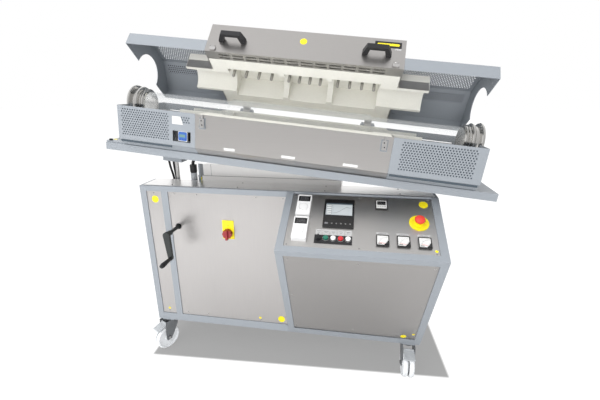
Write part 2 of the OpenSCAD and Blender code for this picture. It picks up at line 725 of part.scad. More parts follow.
// ---- Furnace, lower half ----
// Outline of the lower half across the furnace, from its rear top edge round to the front,
// with a chamfer below the front; w moves it in by the thickness of the sheet
function lower_path(w) = [[house_rear - w, parting], [house_rear - w, tilt_top + w],
    [house_front + chamfer_d + w / 2, tilt_top + w], [house_front + w, tilt_top + chamfer_h + w / 2],
    [house_front + w, parting]];

// A flat panel between corners i and i + 1 of an outer and an inner outline, less half a seam
function toward(p, q) = p + (q - p) * seam / (2 * norm(q - p));
module strip(outer, inner, i) polygon([toward(outer[i], outer[i + 1]),
    toward(outer[i + 1], outer[i]), toward(inner[i + 1], inner[i]), toward(inner[i], inner[i + 1])]);

// Centres of staggered holes that fill a rectangle
function staggered(x0, x1, y0, y1) = let(row = hole_pitch * sin(60),
    n = floor((x1 - x0 - hole_d) / hole_pitch), m = floor((y1 - y0 - hole_d) / row),
    left = (x0 + x1 - n * hole_pitch) / 2, low = (y0 + y1 - m * row) / 2)
    [for (k = [0:m]) for (i = [0:n - k % 2]) [left + hole_pitch * (i + (k % 2) / 2), low + k * row]];
// The same holes driven through the panel that runs from corner p to corner q of an outline
module holes(p, q, centres) translate([0, p.x, p.y]) rotate([atan2(q.y - p.y, q.x - p.x), 0, 0])
    translate([0, 0, -2 * sheet]) linear_extrude(4 * sheet)
        for (c = centres) translate(c) circle(d = hole_d);

// End plate inside an outline, cut out for the tube, in two halves that meet under its axis
module end_plate(x, outline) difference() {
    along_x(x, x + sheet) polygon(outline);
    along_x(x - 1, x + sheet + 1) translate([axis_y, parting]) circle(cut_r);
    bar([x - 1, axis_y - seam / 2, tilt_top - 1], [x + sheet + 1, axis_y + seam / 2, lid_top + 1]);
}

module lower_centre_casing() color(steel) on_tilt() {
    inner = lower_path(sheet);
    difference() {
        along_x(-centre_half + gap, centre_half - gap) polygon(lower_path(0));
        along_x(-centre_half, centre_half) polygon([inner[0] + [0, 1], inner[1], inner[2], inner[3],
            inner[4] + [0, 1]]);
    }
    for (x = [-centre_half + gap, centre_half - gap - sheet]) difference() {
        along_x(x, x + sheet) polygon(lower_path(0));
        along_x(x - 1, x + sheet + 1) translate([axis_y, parting]) circle(neck_out + 1);
    }
}

// Display in the left end housing's front, beside the centre casing, and the cut-out round it
display_x = [-centre_half - 85, -centre_half - 30];
display_margin = 11;
display_cut = [display_x[0] - display_margin, display_x[1] + display_margin, 92, 135];
field_z = [tilt_top + chamfer_h + hole_edge, parting - 8];
louvre_pitch = 18;
module lower_end_housings() color(grey) on_tilt() for (s = [-1, 1]) {
    x0 = s < 0 ? -furnace_half : centre_half;
    x1 = s < 0 ? -centre_half : furnace_half;
    outer = lower_path(0);
    inner = lower_path(sheet);
    difference() {
        along_x(x0, x1) strip(outer, inner, 0);
        for (k = [0:5]) bar([x0 + 30, house_rear - 3, 85 + k * louvre_pitch],
            [x1 - 30, house_rear + 1, 89 + k * louvre_pitch]);
    }
    for (i = [1, 2]) along_x(x0, x1) strip(outer, inner, i);
    z0 = field_z[0] - outer[3].y;
    z1 = field_z[1] - outer[3].y;
    difference() {
        along_x(x0, x1) strip(outer, inner, 3);
        if (s < 0) {
            bar([display_cut[0], house_front - 1, display_cut[2]],
                [display_cut[1], house_front + sheet + 1, display_cut[3]]);
            holes(outer[3], outer[4], staggered(x0 + hole_edge, display_cut[0] - hole_edge, z0, z1));
            holes(outer[3], outer[4], staggered(display_cut[0], display_cut[1],
                display_cut[3] - outer[3].y + 32, z1 - 8));
        } else
            holes(outer[3], outer[4], staggered(x0 + 2 * hole_edge, x1 - 2 * hole_edge, z0, z1));
    }
    end_plate(s < 0 ? -furnace_half : furnace_half - sheet, lower_path(sheet + seam));
}

// The chamber's trough between two end blocks that carry the half necks
module lower_insulation() color(brick) on_tilt() {
    w = sheet + gap;
    block = lower_path(w);
    difference() {
        along_x(-chamber_half + seam, chamber_half - seam) polygon(block);
        translate([-chamber_half, axis_y, parting]) rotate([0, 90, 0])
            cylinder(r = chamber_r, h = chamber_len);
    }
    for (s = [-1, 1]) {
        from = s > 0 ? chamber_half : -centre_half + w + sheet;
        to = s > 0 ? centre_half - w - sheet : -chamber_half;
        neck_from = s > 0 ? centre_half - 8 : -neck_end;
        difference() {
            union() {
                along_x(from, to) polygon(block);
                along_x(neck_from, neck_from + neck_end - centre_half + 8) intersection() {
                    translate([axis_y, parting]) circle(neck_out);
                    translate([axis_y - neck_out, parting - neck_out])
                        square([2 * neck_out, neck_out]);
                }
            }
            translate([s > 0 ? chamber_half - 1 : -neck_end - 1, axis_y, parting]) rotate([0, 90, 0])
                cylinder(r = neck_r, h = neck_end - chamber_half + 2);
        }
    }
}

// Saddles under the tube's ends, standing on the floor of the end housings
saddle_x = [[-668, -603], [603, 655]];
module tube_rests() color(steel) on_tilt() for (x = saddle_x) difference() {
    union() {
        bar([x[0], axis_y - 60, tilt_top + sheet + gap / 2], [x[1], axis_y + 60, parting - 26]);
        bar([x[0], axis_y - 60, parting - 28], [x[1], axis_y + 60, parting - 22]);
    }
    translate([x[0] - 1, axis_y, parting]) rotate([0, 90, 0]) cylinder(r = tube_r + fit, h = 120);
    bar([x[0] - 1, axis_y - 48, tilt_top + 8], [x[1] + 1, axis_y + 48, parting - tube_r - 14]);
}

module display_module() color([0.2, 0.4, 0.7]) on_tilt() difference() {
    bar([display_x[0], house_front + 4, 96], [display_x[1], house_front + 30, 131]);
    bar([display_x[0] + 8, house_front + 3, 108], [display_x[1] - 15, house_front + 5, 124]);
}

// Toggle latches on the front of the lower half: the lever turns about a pin in its plate
latch_z = parting - 36;
latch_x = [-354, 354];
// The pin's height, and how far the lever reaches below it without meeting the plate behind
latch_pin = -11;
latch_heel = 3.4;
module latch(x) color(steel) on_tilt() translate([x, house_front, latch_z]) {
    difference() {
        bar([-9, -8, latch_pin - latch_heel], [9, -5.5, 22]);
        translate([0, -9, 6]) rotate([-90, 0, 0]) cylinder(r = 3, h = 6);
    }
    for (s = [-9, 7.5]) difference() {
        union() {
            bar([s, -8, latch_pin - latch_heel], [s + 1.5, -4, latch_pin + 6]);
            translate([s, -4, latch_pin]) rotate([0, 90, 0]) cylinder(r = 3, h = 1.5);
        }
        translate([s - 1, -4, latch_pin]) rotate([0, 90, 0]) cylinder(r = 1.5 + fit, h = 5);
    }
    translate([-3, -7, 20]) rotate([-8, 0, 0]) bar([0, 0, 0], [6, 2, 15]);
}
module latch_left() latch(latch_x[0]);
module latch_right() latch(latch_x[1]);

module hinge_brackets() color(grey) on_tilt() {
    for (x = [-300, 300]) {
        for (s = [-1, 1]) difference() {
            union() {
                along_x(x + s * 24 - 6, x + s * 24 + 6) polygon([[house_rear, parting - 70],
                    [house_rear + 6, parting - 74], [hinge_y + 8, parting - 12],
                    [hinge_y + 8, parting], [hinge_y - 12, parting], [house_rear, parting - 20]]);
                translate([x + s * 24 - 6, hinge_y, parting]) rotate([0, 90, 0]) cylinder(r = 12, h = 12);
            }
        }
        translate([x - 34, hinge_y, parting]) rotate([0, 90, 0]) cylinder(r = hinge_r, h = 68);
    }
    // Plates that carry the toggle latches' pins on the front of the casing
    for (x = latch_x) translate([x, house_front, latch_z]) {
        bar([-13, -0.8, -20], [13, 0, 24]);
        for (s = [-12.5, 10.5]) bar([s, -7, latch_pin - 5], [s + 2, 0, latch_pin + 5]);
        translate([-11, -4, latch_pin]) rotate([0, 90, 0]) cylinder(r = 1.5, h = 22);
    }
}

// ---- Work tube ----
module work_tube() color([0.85, 0.9, 0.92, 0.6]) on_tilt() translate([0, axis_y, parting])
    rotate([0, 90, 0]) rotate_extrude($fn = 96) {
        a = tube_r;
        b = tube_wide_r;
        w = tube_wall;
        l = wide_len / 2;
        polygon([[a, -left_disc], [a, -l - 16], [b, -l], [b, l], [a, l + 16], [a, right_disc],
            [a - w, right_disc], [a - w, l + 16], [b - w, l], [b - w, -l], [a - w, -l - 16],
            [a - w, -left_disc]]);
    }
// Clamped end flange: two discs, a waist and a ridged collar round the tube
module flange() rotate_extrude($fn = 96) polygon([[tube_r + fit, 0], [disc_r - 3, 0], [disc_r, 3],
    [disc_r, 9], [disc_r - 3, 12], [tube_r + 8, 12], [tube_r + 8, 30], [disc_r - 8, 32],
    [disc_r - 5, 35], [disc_r - 5, 41], [disc_r - 8, 44], [tube_r + 7, 46], [tube_r + 7, 52],
    [tube_r + 11, 55], [tube_r + 7, 58], [tube_r + 7, 62], [tube_r + 11, 65], [tube_r + 6, 70],
    [tube_r + fit, 72]]);
module tube_flanges() color(steel) on_tilt() {
    translate([-left_disc - 5, axis_y, parting]) rotate([0, 90, 0]) flange();
    translate([right_disc + 5, axis_y, parting]) rotate([0, -90, 0]) flange();
}

// ---- Lid ----
vent_d = 41;
vent_pitch = 55;
function lid_path(w) = [[house_front + w, parting + gap], [house_front + w, lid_top - w],
    [house_rear - w, lid_top - w], [house_rear - w, parting + gap]];
module lid_centre_casing() color(steel) on_lid() {
    x0 = -centre_half + gap;
    x1 = centre_half - gap;
    for (i = [0:2]) along_x(x0, x1) strip(lid_path(0), lid_path(sheet), i);
    // Vented strip in the parting plane, two rows of slots
    difference() {
        bar([x0 + sheet + seam, house_front + sheet + seam, parting + gap],
            [x1 - sheet - seam, house_front + vent_d, parting + gap + sheet]);
        for (i = [0:11]) for (y = [15, 30])
            bar([-330 + i * vent_pitch, house_front + y - 3, parting - 1],
                [-330 + i * vent_pitch + 44, house_front + y + 3, parting + 5]);
    }
    // End plates, open for the necks
    for (x = [x0, x1 - sheet]) difference() {
        along_x(x, x + sheet) polygon(lid_path(sheet + seam));
        bar([x - 1, axis_y - neck_out - 6, parting - 1],
            [x + sheet + 1, axis_y + neck_out + 6, parting + neck_out + 6]);
    }
    // Hinge arms with their knuckles
    for (x = [-300, 300]) difference() {
        union() {
            along_x(x - 17, x + 17) polygon([[house_rear + seam, parting + 6],
                [hinge_y - 4, parting + 10], [hinge_y + 10, parting + 6],
                [house_rear + seam, parting + 60]]);
            translate([x - 17, hinge_y, parting]) rotate([0, 90, 0]) cylinder(r = 12, h = 34);
        }
        translate([x - 18, hinge_y, parting]) rotate([0, 90, 0]) cylinder(r = hinge_r + fit, h = 36);
    }
    // Catch plates of the latches
    for (x = latch_x) bar([x - 8, house_front - 3, parting + 4], [x + 8, house_front - seam, parting + 28]);
}

// The end covers' outline: front wall, slope, top, rear slope and rear wall
cover_slope = 0;
cover_back = house_rear - 110;
function cover_path(w) = [[house_front + w, parting + gap], [house_front + w, parting + cover_h - w],
    [cover_slope, lid_top - w], [cover_back, lid_top - w],
    [house_rear - w, parting + cover_h - w], [house_rear - w, parting + gap]];
module lid_end_covers() color(grey) on_lid() for (s = [-1, 1]) {
    x0 = s < 0 ? -furnace_half : centre_half;
    x1 = s < 0 ? -centre_half : furnace_half;
    outer = cover_path(0);
    inner = cover_path(sheet);
    for (i = [0, 3, 4]) along_x(x0, x1) strip(outer, inner, i);
    // The slope and the top are perforated
    for (i = [1, 2]) difference() {
        along_x(x0, x1) strip(outer, inner, i);
        holes(outer[i], outer[i + 1], staggered(x0 + hole_edge, x1 - hole_edge, hole_edge,
            norm(outer[i + 1] - outer[i]) - hole_edge));
    }
    end_plate(s < 0 ? -furnace_half : furnace_half - sheet, cover_path(sheet + seam));
}

// Blocks round the chamber, two ribs between the heating zones, and end blocks with half necks
rib_x = [-87, 110];
rib_w = 25;
arch = 96;
module lid_insulation() color(brick) on_lid() {
    w = sheet + gap;
    y0 = house_front + vent_d + seam;
    y1 = house_rear - w;
    low = parting + gap;
    top = parting + arch;
    bar([-chamber_half, y0, low], [chamber_half, axis_y - chamber_r, top]);
    bar([-chamber_half, axis_y + chamber_r, low], [chamber_half, y1, top]);
    bar([-chamber_half, y0, top + seam], [chamber_half, y1, lid_top - w]);
    for (x = rib_x) difference() {
        bar([x - rib_w / 2, axis_y - chamber_r + seam, low],
            [x + rib_w / 2, axis_y + chamber_r - seam, top]);
        translate([x - rib_w / 2 - 1, axis_y, parting]) rotate([0, 90, 0])
            cylinder(r = tube_wide_r + 8, h = rib_w + 2);
    }
    for (s = [-1, 1]) {
        from = s > 0 ? chamber_half + seam : -centre_half + w + sheet;
        to = s > 0 ? centre_half - w - sheet : -chamber_half - seam;
        neck_from = s > 0 ? centre_half - 8 : -neck_end;
        difference() {
            union() {
                bar([from, y0, low], [to, y1, lid_top - w]);
                bar([neck_from, axis_y - neck_out, low],
                    [neck_from + neck_end - centre_half + 8, axis_y + neck_out, parting + neck_out]);
            }
            translate([s > 0 ? chamber_half - 1 : -neck_end - 1, axis_y, parting]) rotate([0, 90, 0])
                cylinder(r = neck_r, h = neck_end - chamber_half + 2);
        }
    }
}

// Rods that hang from the chamber's roof along its front, four in each zone, and reach past
// the work tube into the lower trough
rod_r = 6;
rod_end = -20;
zone_x = [[-315, -99.5], [-74.5, 97.5], [122.5, 315]];
module heating_elements() color(steel) on_lid() for (z = zone_x) for (k = [0:3])
    translate([z[0] + (z[1] - z[0]) * (k + 0.5) / 4, axis_y - chamber_r + rod_r + 7,
        parting + rod_end]) {
        sphere(r = rod_r);
        cylinder(r = rod_r, h = arch - rod_end);
    }

// Bridge handles: flat feet, sloping legs and a straight grip
handle_x = [-281, 279];
handle_foot = 8;
handle_grip = 12;
module handle_profile() {
    half = handle_len / 2;
    offset(r = 3) offset(delta = -3) polygon([[-half, 0], [-half, handle_foot],
        [-half + 15, handle_proud], [half - 15, handle_proud], [half, handle_foot], [half, 0],
        [half - 19, 0], [half - 27, handle_proud - handle_grip],
        [-half + 27, handle_proud - handle_grip], [-half + 19, 0]]);
}
module lid_handles() color(dark) on_lid() for (x = handle_x)
    translate([x, house_front - seam, parting + handle_up - handle_w / 2])
        linear_extrude(handle_w) mirror([0, 1]) handle_profile();

base_frame();
front_panels();
console_front_panel();
control_panel();
side_panels();
rear_panel();
top_plate();
chassis_cover();
bottom_tray();
pedestal();
pivot_bearings();
castor_plates();
castor_fork(0);  // castor_fork_1
castor_fork(1);  // castor_fork_2
castor_fork(2);  // castor_fork_3
castor_fork(3);  // castor_fork_4
castor_wheels(0);  // castor_wheels_1
castor_wheels(1);  // castor_wheels_2
castor_wheels(2);  // castor_wheels_3
castor_wheels(3);  // castor_wheels_4
brake_pedal(0);  // brake_pedal_1
brake_pedal(1);  // brake_pedal_2
instrument_boxes();
touch_controller();
panel_meters();
button_strip();
selector_knob();
green_button();
white_button_1();
red_button();
white_button_2();
estop_collar();
estop_mushroom();
main_switch_plate();
main_switch_handle();
dial_upper();
dial_lower();
screw_jack();
lift_spindle();
crank_arm();
crank_grip();
conduit_glands();
conduits();
tilting_frame();
lift_bracket();
lower_centre_casing();
lower_end_housings();
lower_insulation();
tube_rests();
display_module();
latch_left();
latch_right();
hinge_brackets();
work_tube();
tube_flanges();
lid_centre_casing();
lid_end_covers();
lid_insulation();
heating_elements();
lid_handles();
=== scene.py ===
"""Looks of the tube furnace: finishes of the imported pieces, and pieces that carry fine detail."""
import math

import bmesh
import bpy
from mathutils import Matrix, Vector


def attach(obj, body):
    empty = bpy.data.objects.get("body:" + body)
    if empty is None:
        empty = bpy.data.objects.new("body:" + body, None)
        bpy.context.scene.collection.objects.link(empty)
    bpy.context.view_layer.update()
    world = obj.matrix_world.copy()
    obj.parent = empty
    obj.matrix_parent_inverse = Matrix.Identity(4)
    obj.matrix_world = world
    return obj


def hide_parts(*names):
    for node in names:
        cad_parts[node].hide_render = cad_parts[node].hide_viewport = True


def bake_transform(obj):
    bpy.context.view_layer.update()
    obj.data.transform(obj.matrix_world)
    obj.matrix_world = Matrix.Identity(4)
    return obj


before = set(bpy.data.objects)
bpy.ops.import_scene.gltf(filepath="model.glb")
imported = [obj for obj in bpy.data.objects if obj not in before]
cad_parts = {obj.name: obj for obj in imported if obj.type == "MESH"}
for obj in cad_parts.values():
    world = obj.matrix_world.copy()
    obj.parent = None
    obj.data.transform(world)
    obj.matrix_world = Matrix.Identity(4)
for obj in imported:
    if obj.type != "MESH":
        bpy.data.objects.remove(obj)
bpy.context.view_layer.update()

# ---- Places that the pieces share, in metres in the row frame ----
MM = 0.001
ORIGIN_X, ORIGIN_Y = 0.05665215, 0.16576607   # the origin, from the middle of the cabinet's front
TOP_Z = 0.900
PIVOT = Vector((0.057 - ORIGIN_X, 0, 0.986))
TILT = math.radians(5.9)
LID_OPEN = math.radians(36.4)
PARTING = 0.210
HINGE_Y = 0.290
FRONT = -0.110
LID_TOP = 0.344
CONSOLE_SLOPE = math.radians(30)
NOSE = Vector((0, -0.310 * math.cos(CONSOLE_SLOPE), TOP_Z - 0.310 * math.sin(CONSOLE_SLOPE)))
LOWER_ANGLE = math.radians(90) + math.atan(-NOSE.y / (NOSE.z - 0.165))

# Frames of reference as matrices: cabinet, control panel, console front, furnace, lid
STAND = Matrix.Translation((-ORIGIN_X, -ORIGIN_Y, 0))
ON_FRONT = STAND @ Matrix.Rotation(math.radians(90), 4, "X")
ON_SLOPE = STAND @ Matrix.Translation((0, 0, TOP_Z)) @ Matrix.Rotation(CONSOLE_SLOPE, 4, "X")
ON_LOWER = STAND @ Matrix.Translation(NOSE) @ Matrix.Rotation(LOWER_ANGLE, 4, "X")
ON_TILT = Matrix.Translation((PIVOT.x, -ORIGIN_Y, PIVOT.z)) @ Matrix.Rotation(TILT, 4, "Y")
ON_LID = (ON_TILT @ Matrix.Translation((0, HINGE_Y, PARTING)) @ Matrix.Rotation(-LID_OPEN, 4, "X")
          @ Matrix.Translation((0, -HINGE_Y, -PARTING)))
FRONT_OUT = Matrix.Translation((0, FRONT, 0)) @ Matrix.Rotation(math.radians(90), 4, "X")
ON_TILT_FRONT = ON_TILT @ FRONT_OUT
ON_LID_FRONT = ON_LID @ FRONT_OUT


# ---- Camera ----
CAMERA_LENS = 20.065                    # millimetres, on a sensor 36 mm wide
CAMERA_PLACE = (0.3129, -1.3826, 1.3081)    # from the middle of the cabinet's front
CAMERA_DOWN, CAMERA_TURN, CAMERA_ROLL = 17.603, 8.984, -0.131    # degrees


def make_camera():
    """The camera that was fitted to the cabinet's and the furnace's corners."""
    data = bpy.data.cameras.new("camera")
    data.lens = CAMERA_LENS
    data.sensor_width = 36.0
    data.clip_start = 0.05
    data.clip_end = 50
    camera = bpy.data.objects.new("camera", data)
    x, y, z = CAMERA_PLACE
    camera.location = (x - ORIGIN_X, y - ORIGIN_Y, z)
    camera.rotation_euler = (math.radians(90 - CAMERA_DOWN), 0, math.radians(CAMERA_TURN))
    bpy.context.scene.collection.objects.link(camera)
    camera.matrix_world = (Matrix.Translation(camera.location)
                           @ camera.rotation_euler.to_matrix().to_4x4()
                           @ Matrix.Rotation(math.radians(CAMERA_ROLL), 4, "Z"))
    bpy.context.scene.camera = camera


# ---- Materials ----
def node_tree(name):
    material = bpy.data.materials.new(name)
    material.use_nodes = True
    nodes = material.node_tree.nodes
    return material, nodes, material.node_tree.links, nodes["Principled BSDF"]


def add(nodes, kind, **values):
    node = nodes.new(kind)
    for key, value in values.items():
        if key in node.inputs:
            node.inputs[key].default_value = value
        else:
            setattr(node, key, value)
    return node


def mapped(nodes, links, scale):
    coords = add(nodes, "ShaderNodeTexCoord")
    mapping = add(nodes, "ShaderNodeMapping")
    mapping.inputs["Scale"].default_value = scale
    links.new(coords.outputs["Object"], mapping.inputs["Vector"])
    return mapping.outputs["Vector"]


def ramp_between(nodes, links, fac, low, high, start=0.3, end=0.7):
    ramp = add(nodes, "ShaderNodeValToRGB")
    ramp.color_ramp.elements[0].position = start
    ramp.color_ramp.elements[0].color = low
    ramp.color_ramp.elements[1].position = end
    ramp.color_ramp.elements[1].color = high
    links.new(fac, ramp.inputs["Fac"])
    return ramp.outputs["Color"]


def shade(colour, factor):
    return tuple(min(1.0, c * factor) for c in colour[:3]) + (1.0,)


def rough_between(nodes, links, bsdf, fac, low, high):
    remap = add(nodes, "ShaderNodeMapRange")
    remap.inputs["To Min"].default_value = low
    remap.inputs["To Max"].default_value = high
    links.new(fac, remap.inputs["Value"])
    links.new(remap.outputs["Result"], bsdf.inputs["Roughness"])


def bump(nodes, links, bsdf, height, strength, distance):
    node = add(nodes, "ShaderNodeBump")
    node.inputs["Strength"].default_value = strength
    node.inputs["Distance"].default_value = distance
    links.new(height, node.inputs["Height"])
    links.new(node.outputs["Normal"], bsdf.inputs["Normal"])


def finish_material(name, colour, rough=(0.35, 0.5), metal=0.0, grain=(900, 900, 900), depth=0.0002,
                    strength=0.25, variation=0.05, cloud=3.0, coat=0.0, detail=3.0):
    """A surface with fine grain in its relief, cloudy colour variation and uneven roughness."""
    material, nodes, links, bsdf = node_tree(name)
    fine = add(nodes, "ShaderNodeTexNoise", Scale=1.0, Detail=detail, Roughness=0.6)
    links.new(mapped(nodes, links, grain), fine.inputs["Vector"])
    soft = add(nodes, "ShaderNodeTexNoise", Scale=cloud, Detail=2.0, Roughness=0.5)
    links.new(mapped(nodes, links, (1, 1, 1)), soft.inputs["Vector"])
    mix = add(nodes, "ShaderNodeMath", operation="ADD")
    half = add(nodes, "ShaderNodeMath", operation="MULTIPLY")
    half.inputs[1].default_value = 0.5
    links.new(fine.outputs["Fac"], mix.inputs[0])
    links.new(soft.outputs["Fac"], mix.inputs[1])
    links.new(mix.outputs["Value"], half.inputs[0])
    colour_out = ramp_between(nodes, links, half.outputs["Value"], shade(colour, 1 - variation),
                              shade(colour, 1 + variation))
    links.new(colour_out, bsdf.inputs["Base Color"])
    rough_between(nodes, links, bsdf, half.outputs["Value"], rough[0], rough[1])
    bsdf.inputs["Metallic"].default_value = metal
    bsdf.inputs["Coat Weight"].default_value = coat
    bsdf.inputs["Coat Roughness"].default_value = 0.08
    bump(nodes, links, bsdf, fine.outputs["Fac"], strength, depth)
    return material


def quartz_material():
    """Clear tube: nearly invisible where it is faced, milky towards its edges."""
    material, nodes, links, bsdf = node_tree("quartz")
    noise = add(nodes, "ShaderNodeTexNoise", Scale=1.0, Detail=2.0)
    links.new(mapped(nodes, links, (2, 60, 60)), noise.inputs["Vector"])
    colour = ramp_between(nodes, links, noise.outputs["Fac"], (0.80, 0.84, 0.86, 1),
                          (0.93, 0.95, 0.96, 1))
    links.new(colour, bsdf.inputs["Base Color"])
    rough_between(nodes, links, bsdf, noise.outputs["Fac"], 0.03, 0.10)
    edge = add(nodes, "ShaderNodeLayerWeight", Blend=0.35)
    alpha = add(nodes, "ShaderNodeMapRange")
    alpha.inputs["To Min"].default_value = 0.04
    alpha.inputs["To Max"].default_value = 0.34
    links.new(edge.outputs["Facing"], alpha.inputs["Value"])
    links.new(alpha.outputs["Result"], bsdf.inputs["Alpha"])
    bsdf.inputs["IOR"].default_value = 1.46
    return material


# Stretch of the grain of brushed steel, along the sheet or upright
ALONG, UPRIGHT = (6, 900, 900), (700, 700, 7)


def brushed(name, colour, rough, grain=ALONG, metal=1.0, variation=0.05):
    return finish_material(name, colour, rough, metal, grain=grain, depth=0.00006, strength=0.35,
                           variation=variation, cloud=1.6)


# Grain of printed faces and screens, of clear caps, and of moulded plastic
FLAT = {"grain": (700,) * 3, "depth": 0.00002, "strength": 0.1}
GLOSSY = {"grain": (700,) * 3, "depth": 0.00005, "strength": 0.15}
MOULDED = {"grain": (700,) * 3, "depth": 0.0001, "strength": 0.2}


def make_materials():
    m = {}
    m["paint"] = finish_material("grey_powder_coat", (0.29, 0.315, 0.345), (0.36, 0.50),
                                 grain=(1400,) * 3, depth=0.00015, strength=0.3, variation=0.03)
    m["steel"] = brushed("stainless_brushed", (0.62, 0.60, 0.585), (0.30, 0.42))
    # Lighter copy of the brushed stainless: painted light on the control panel, which lies in the
    # furnace's shade
    m["steel_panel_painted_light"] = brushed("stainless_panel_painted_light", (0.70, 0.685, 0.67), (0.34, 0.44), variation=0.04)
    m["steel_v"] = brushed("stainless_brushed_upright", (0.62, 0.60, 0.59), (0.32, 0.44), UPRIGHT)
    # Darker copy of the brushed stainless: painted shade on the console front, which faces down
    m["steel_painted_shade"] = brushed("stainless_painted_shade", (0.50, 0.485, 0.475), (0.32, 0.44), UPRIGHT)
    # Lighter copy of the brushed stainless: painted light on the top plate and pedestal under the
    # furnace
    m["steel_painted_light"] = brushed("stainless_painted_light", (0.80, 0.79, 0.78), (0.24, 0.34), metal=0.9,
                             variation=0.04)
    m["bright"] = finish_material("bright_steel", (0.74, 0.73, 0.72), (0.12, 0.24), 1.0,
                                  grain=(300,) * 3, depth=0.00003, strength=0.2, variation=0.04)
    m["turned"] = finish_material("turned_steel", (0.66, 0.65, 0.63), (0.14, 0.26), 1.0,
                                  grain=(1500, 30, 30), depth=0.00004, strength=0.35,
                                  variation=0.06)
    m["insulation"] = finish_material("fibre_insulation", (0.83, 0.82, 0.76), (0.85, 0.97),
                                      grain=(160,) * 3, depth=0.0009, strength=0.5,
                                      variation=0.05, cloud=9.0, detail=8.0)
    m["element"] = finish_material("oxidised_heater", (0.42, 0.41, 0.39), (0.30, 0.46), 0.9,
                                   grain=(400,) * 3, depth=0.0001, strength=0.3, variation=0.12,
                                   cloud=30.0)
    m["black"] = finish_material("black_plastic", (0.018, 0.018, 0.02), (0.34, 0.48),
                                 grain=(1100,) * 3, depth=0.00012, strength=0.3, variation=0.2)
    m["cast"] = finish_material("black_casting", (0.022, 0.026, 0.026), (0.30, 0.44),
                                grain=(500,) * 3, depth=0.0002, strength=0.3, variation=0.2)
    m["rubber"] = finish_material("black_conduit", (0.012, 0.012, 0.013), (0.45, 0.6),
                                  grain=(60, 60, 500), depth=0.0006, strength=0.6, variation=0.2)
    m["white"] = finish_material("white_plastic", (0.80, 0.80, 0.80), (0.36, 0.46),
                                 grain=(900,) * 3, depth=0.0001, strength=0.2, variation=0.02)
    m["wheel"] = finish_material("castor_tyre", (0.80, 0.82, 0.84), (0.40, 0.55),
                                 grain=(260,) * 3, depth=0.0004, strength=0.35, variation=0.07,
                                 cloud=20.0)
    m["castor"] = finish_material("castor_grey", (0.46, 0.48, 0.50), (0.38, 0.5),
                                  grain=(700,) * 3, depth=0.0002, strength=0.3, variation=0.06)
    m["fork"] = finish_material("fork_zinc", (0.20, 0.21, 0.22), (0.36, 0.5), 0.5,
                                grain=(500,) * 3, depth=0.0002, strength=0.3, variation=0.12,
                                cloud=14.0)
    m["glass_black"] = finish_material("black_glass", (0.008, 0.008, 0.009), (0.10, 0.18),
                                       grain=(500,) * 3, depth=0.00002, strength=0.1,
                                       variation=0.2, coat=0.6)
    m["yellow"] = finish_material("signal_yellow", (0.90, 0.76, 0.01), (0.36, 0.48),
                                  grain=(900,) * 3, depth=0.0001, strength=0.2, variation=0.03)
    m["red"] = finish_material("signal_red", (0.76, 0.055, 0.035), (0.28, 0.4), variation=0.05,
                               coat=0.3, **MOULDED)
    m["dark_red"] = finish_material("switch_red", (0.30, 0.016, 0.022), (0.24, 0.36),
                                    variation=0.08, coat=0.3, **MOULDED)
    m["green"] = finish_material("button_green", (0.006, 0.16, 0.10), (0.14, 0.26),
                                 variation=0.08, coat=0.5, **GLOSSY)
    m["lamp_white"] = finish_material("button_white", (0.80, 0.80, 0.80), (0.16, 0.26),
                                      variation=0.02, coat=0.4, **GLOSSY)
    m["lamp_red"] = finish_material("button_red", (0.55, 0.012, 0.02), (0.14, 0.26),
                                    variation=0.06, coat=0.5, **GLOSSY)
    m["blue"] = finish_material("display_blue", (0.035, 0.12, 0.42), (0.3, 0.42), variation=0.08,
                                **MOULDED)
    m["screen"] = finish_material("screen_grey", (0.52, 0.56, 0.58), (0.25, 0.35), variation=0.03,
                                  **FLAT)
    m["screen_light"] = finish_material("screen_light", (0.70, 0.72, 0.72), (0.25, 0.35),
                                        variation=0.03, **FLAT)
    m["screen_mid"] = finish_material("screen_mid", (0.30, 0.33, 0.35), (0.25, 0.35),
                                      variation=0.03, **FLAT)
    # Dark screen print; also painted shade on the sheets behind the housings' holes
    m["dark_screen_and_shade"] = finish_material("dark_screen_and_shade", (0.06, 0.08, 0.10), (0.25, 0.35),
                                       variation=0.05, **FLAT)
    m["label_grey"] = finish_material("label_grey", (0.50, 0.50, 0.50), (0.35, 0.45),
                                      grain=(700,) * 3, depth=0.00005, strength=0.2,
                                      variation=0.03)
    m["grey_mark"] = finish_material("legend_mark", (0.16, 0.16, 0.17), (0.35, 0.45),
                                     variation=0.05, **FLAT)
    # Dark ink of scales and marks; also painted shade in the marks for the lid covers' holes
    m["grey_dark"] = finish_material("ink_and_hole_shade", (0.04, 0.04, 0.045), (0.35, 0.45),
                                     variation=0.05, **FLAT)
    m["meter_rim"] = finish_material("bezel_steel", (0.50, 0.50, 0.50), (0.20, 0.32), 1.0,
                                     grain=(700,) * 3, depth=0.00003, strength=0.2,
                                     variation=0.05)
    m["plastic_white"] = finish_material("face_white", (0.72, 0.72, 0.71), (0.35, 0.45),
                                         grain=(700,) * 3, depth=0.00003, strength=0.1,
                                         variation=0.02)
    m["lcd"] = finish_material("display_lcd", (0.14, 0.26, 0.24), (0.25, 0.35), variation=0.05,
                               **FLAT)
    m["blue_dark"] = finish_material("display_keys", (0.02, 0.07, 0.30), (0.3, 0.4),
                                     variation=0.05, **FLAT)
    m["quartz"] = quartz_material()
    return m


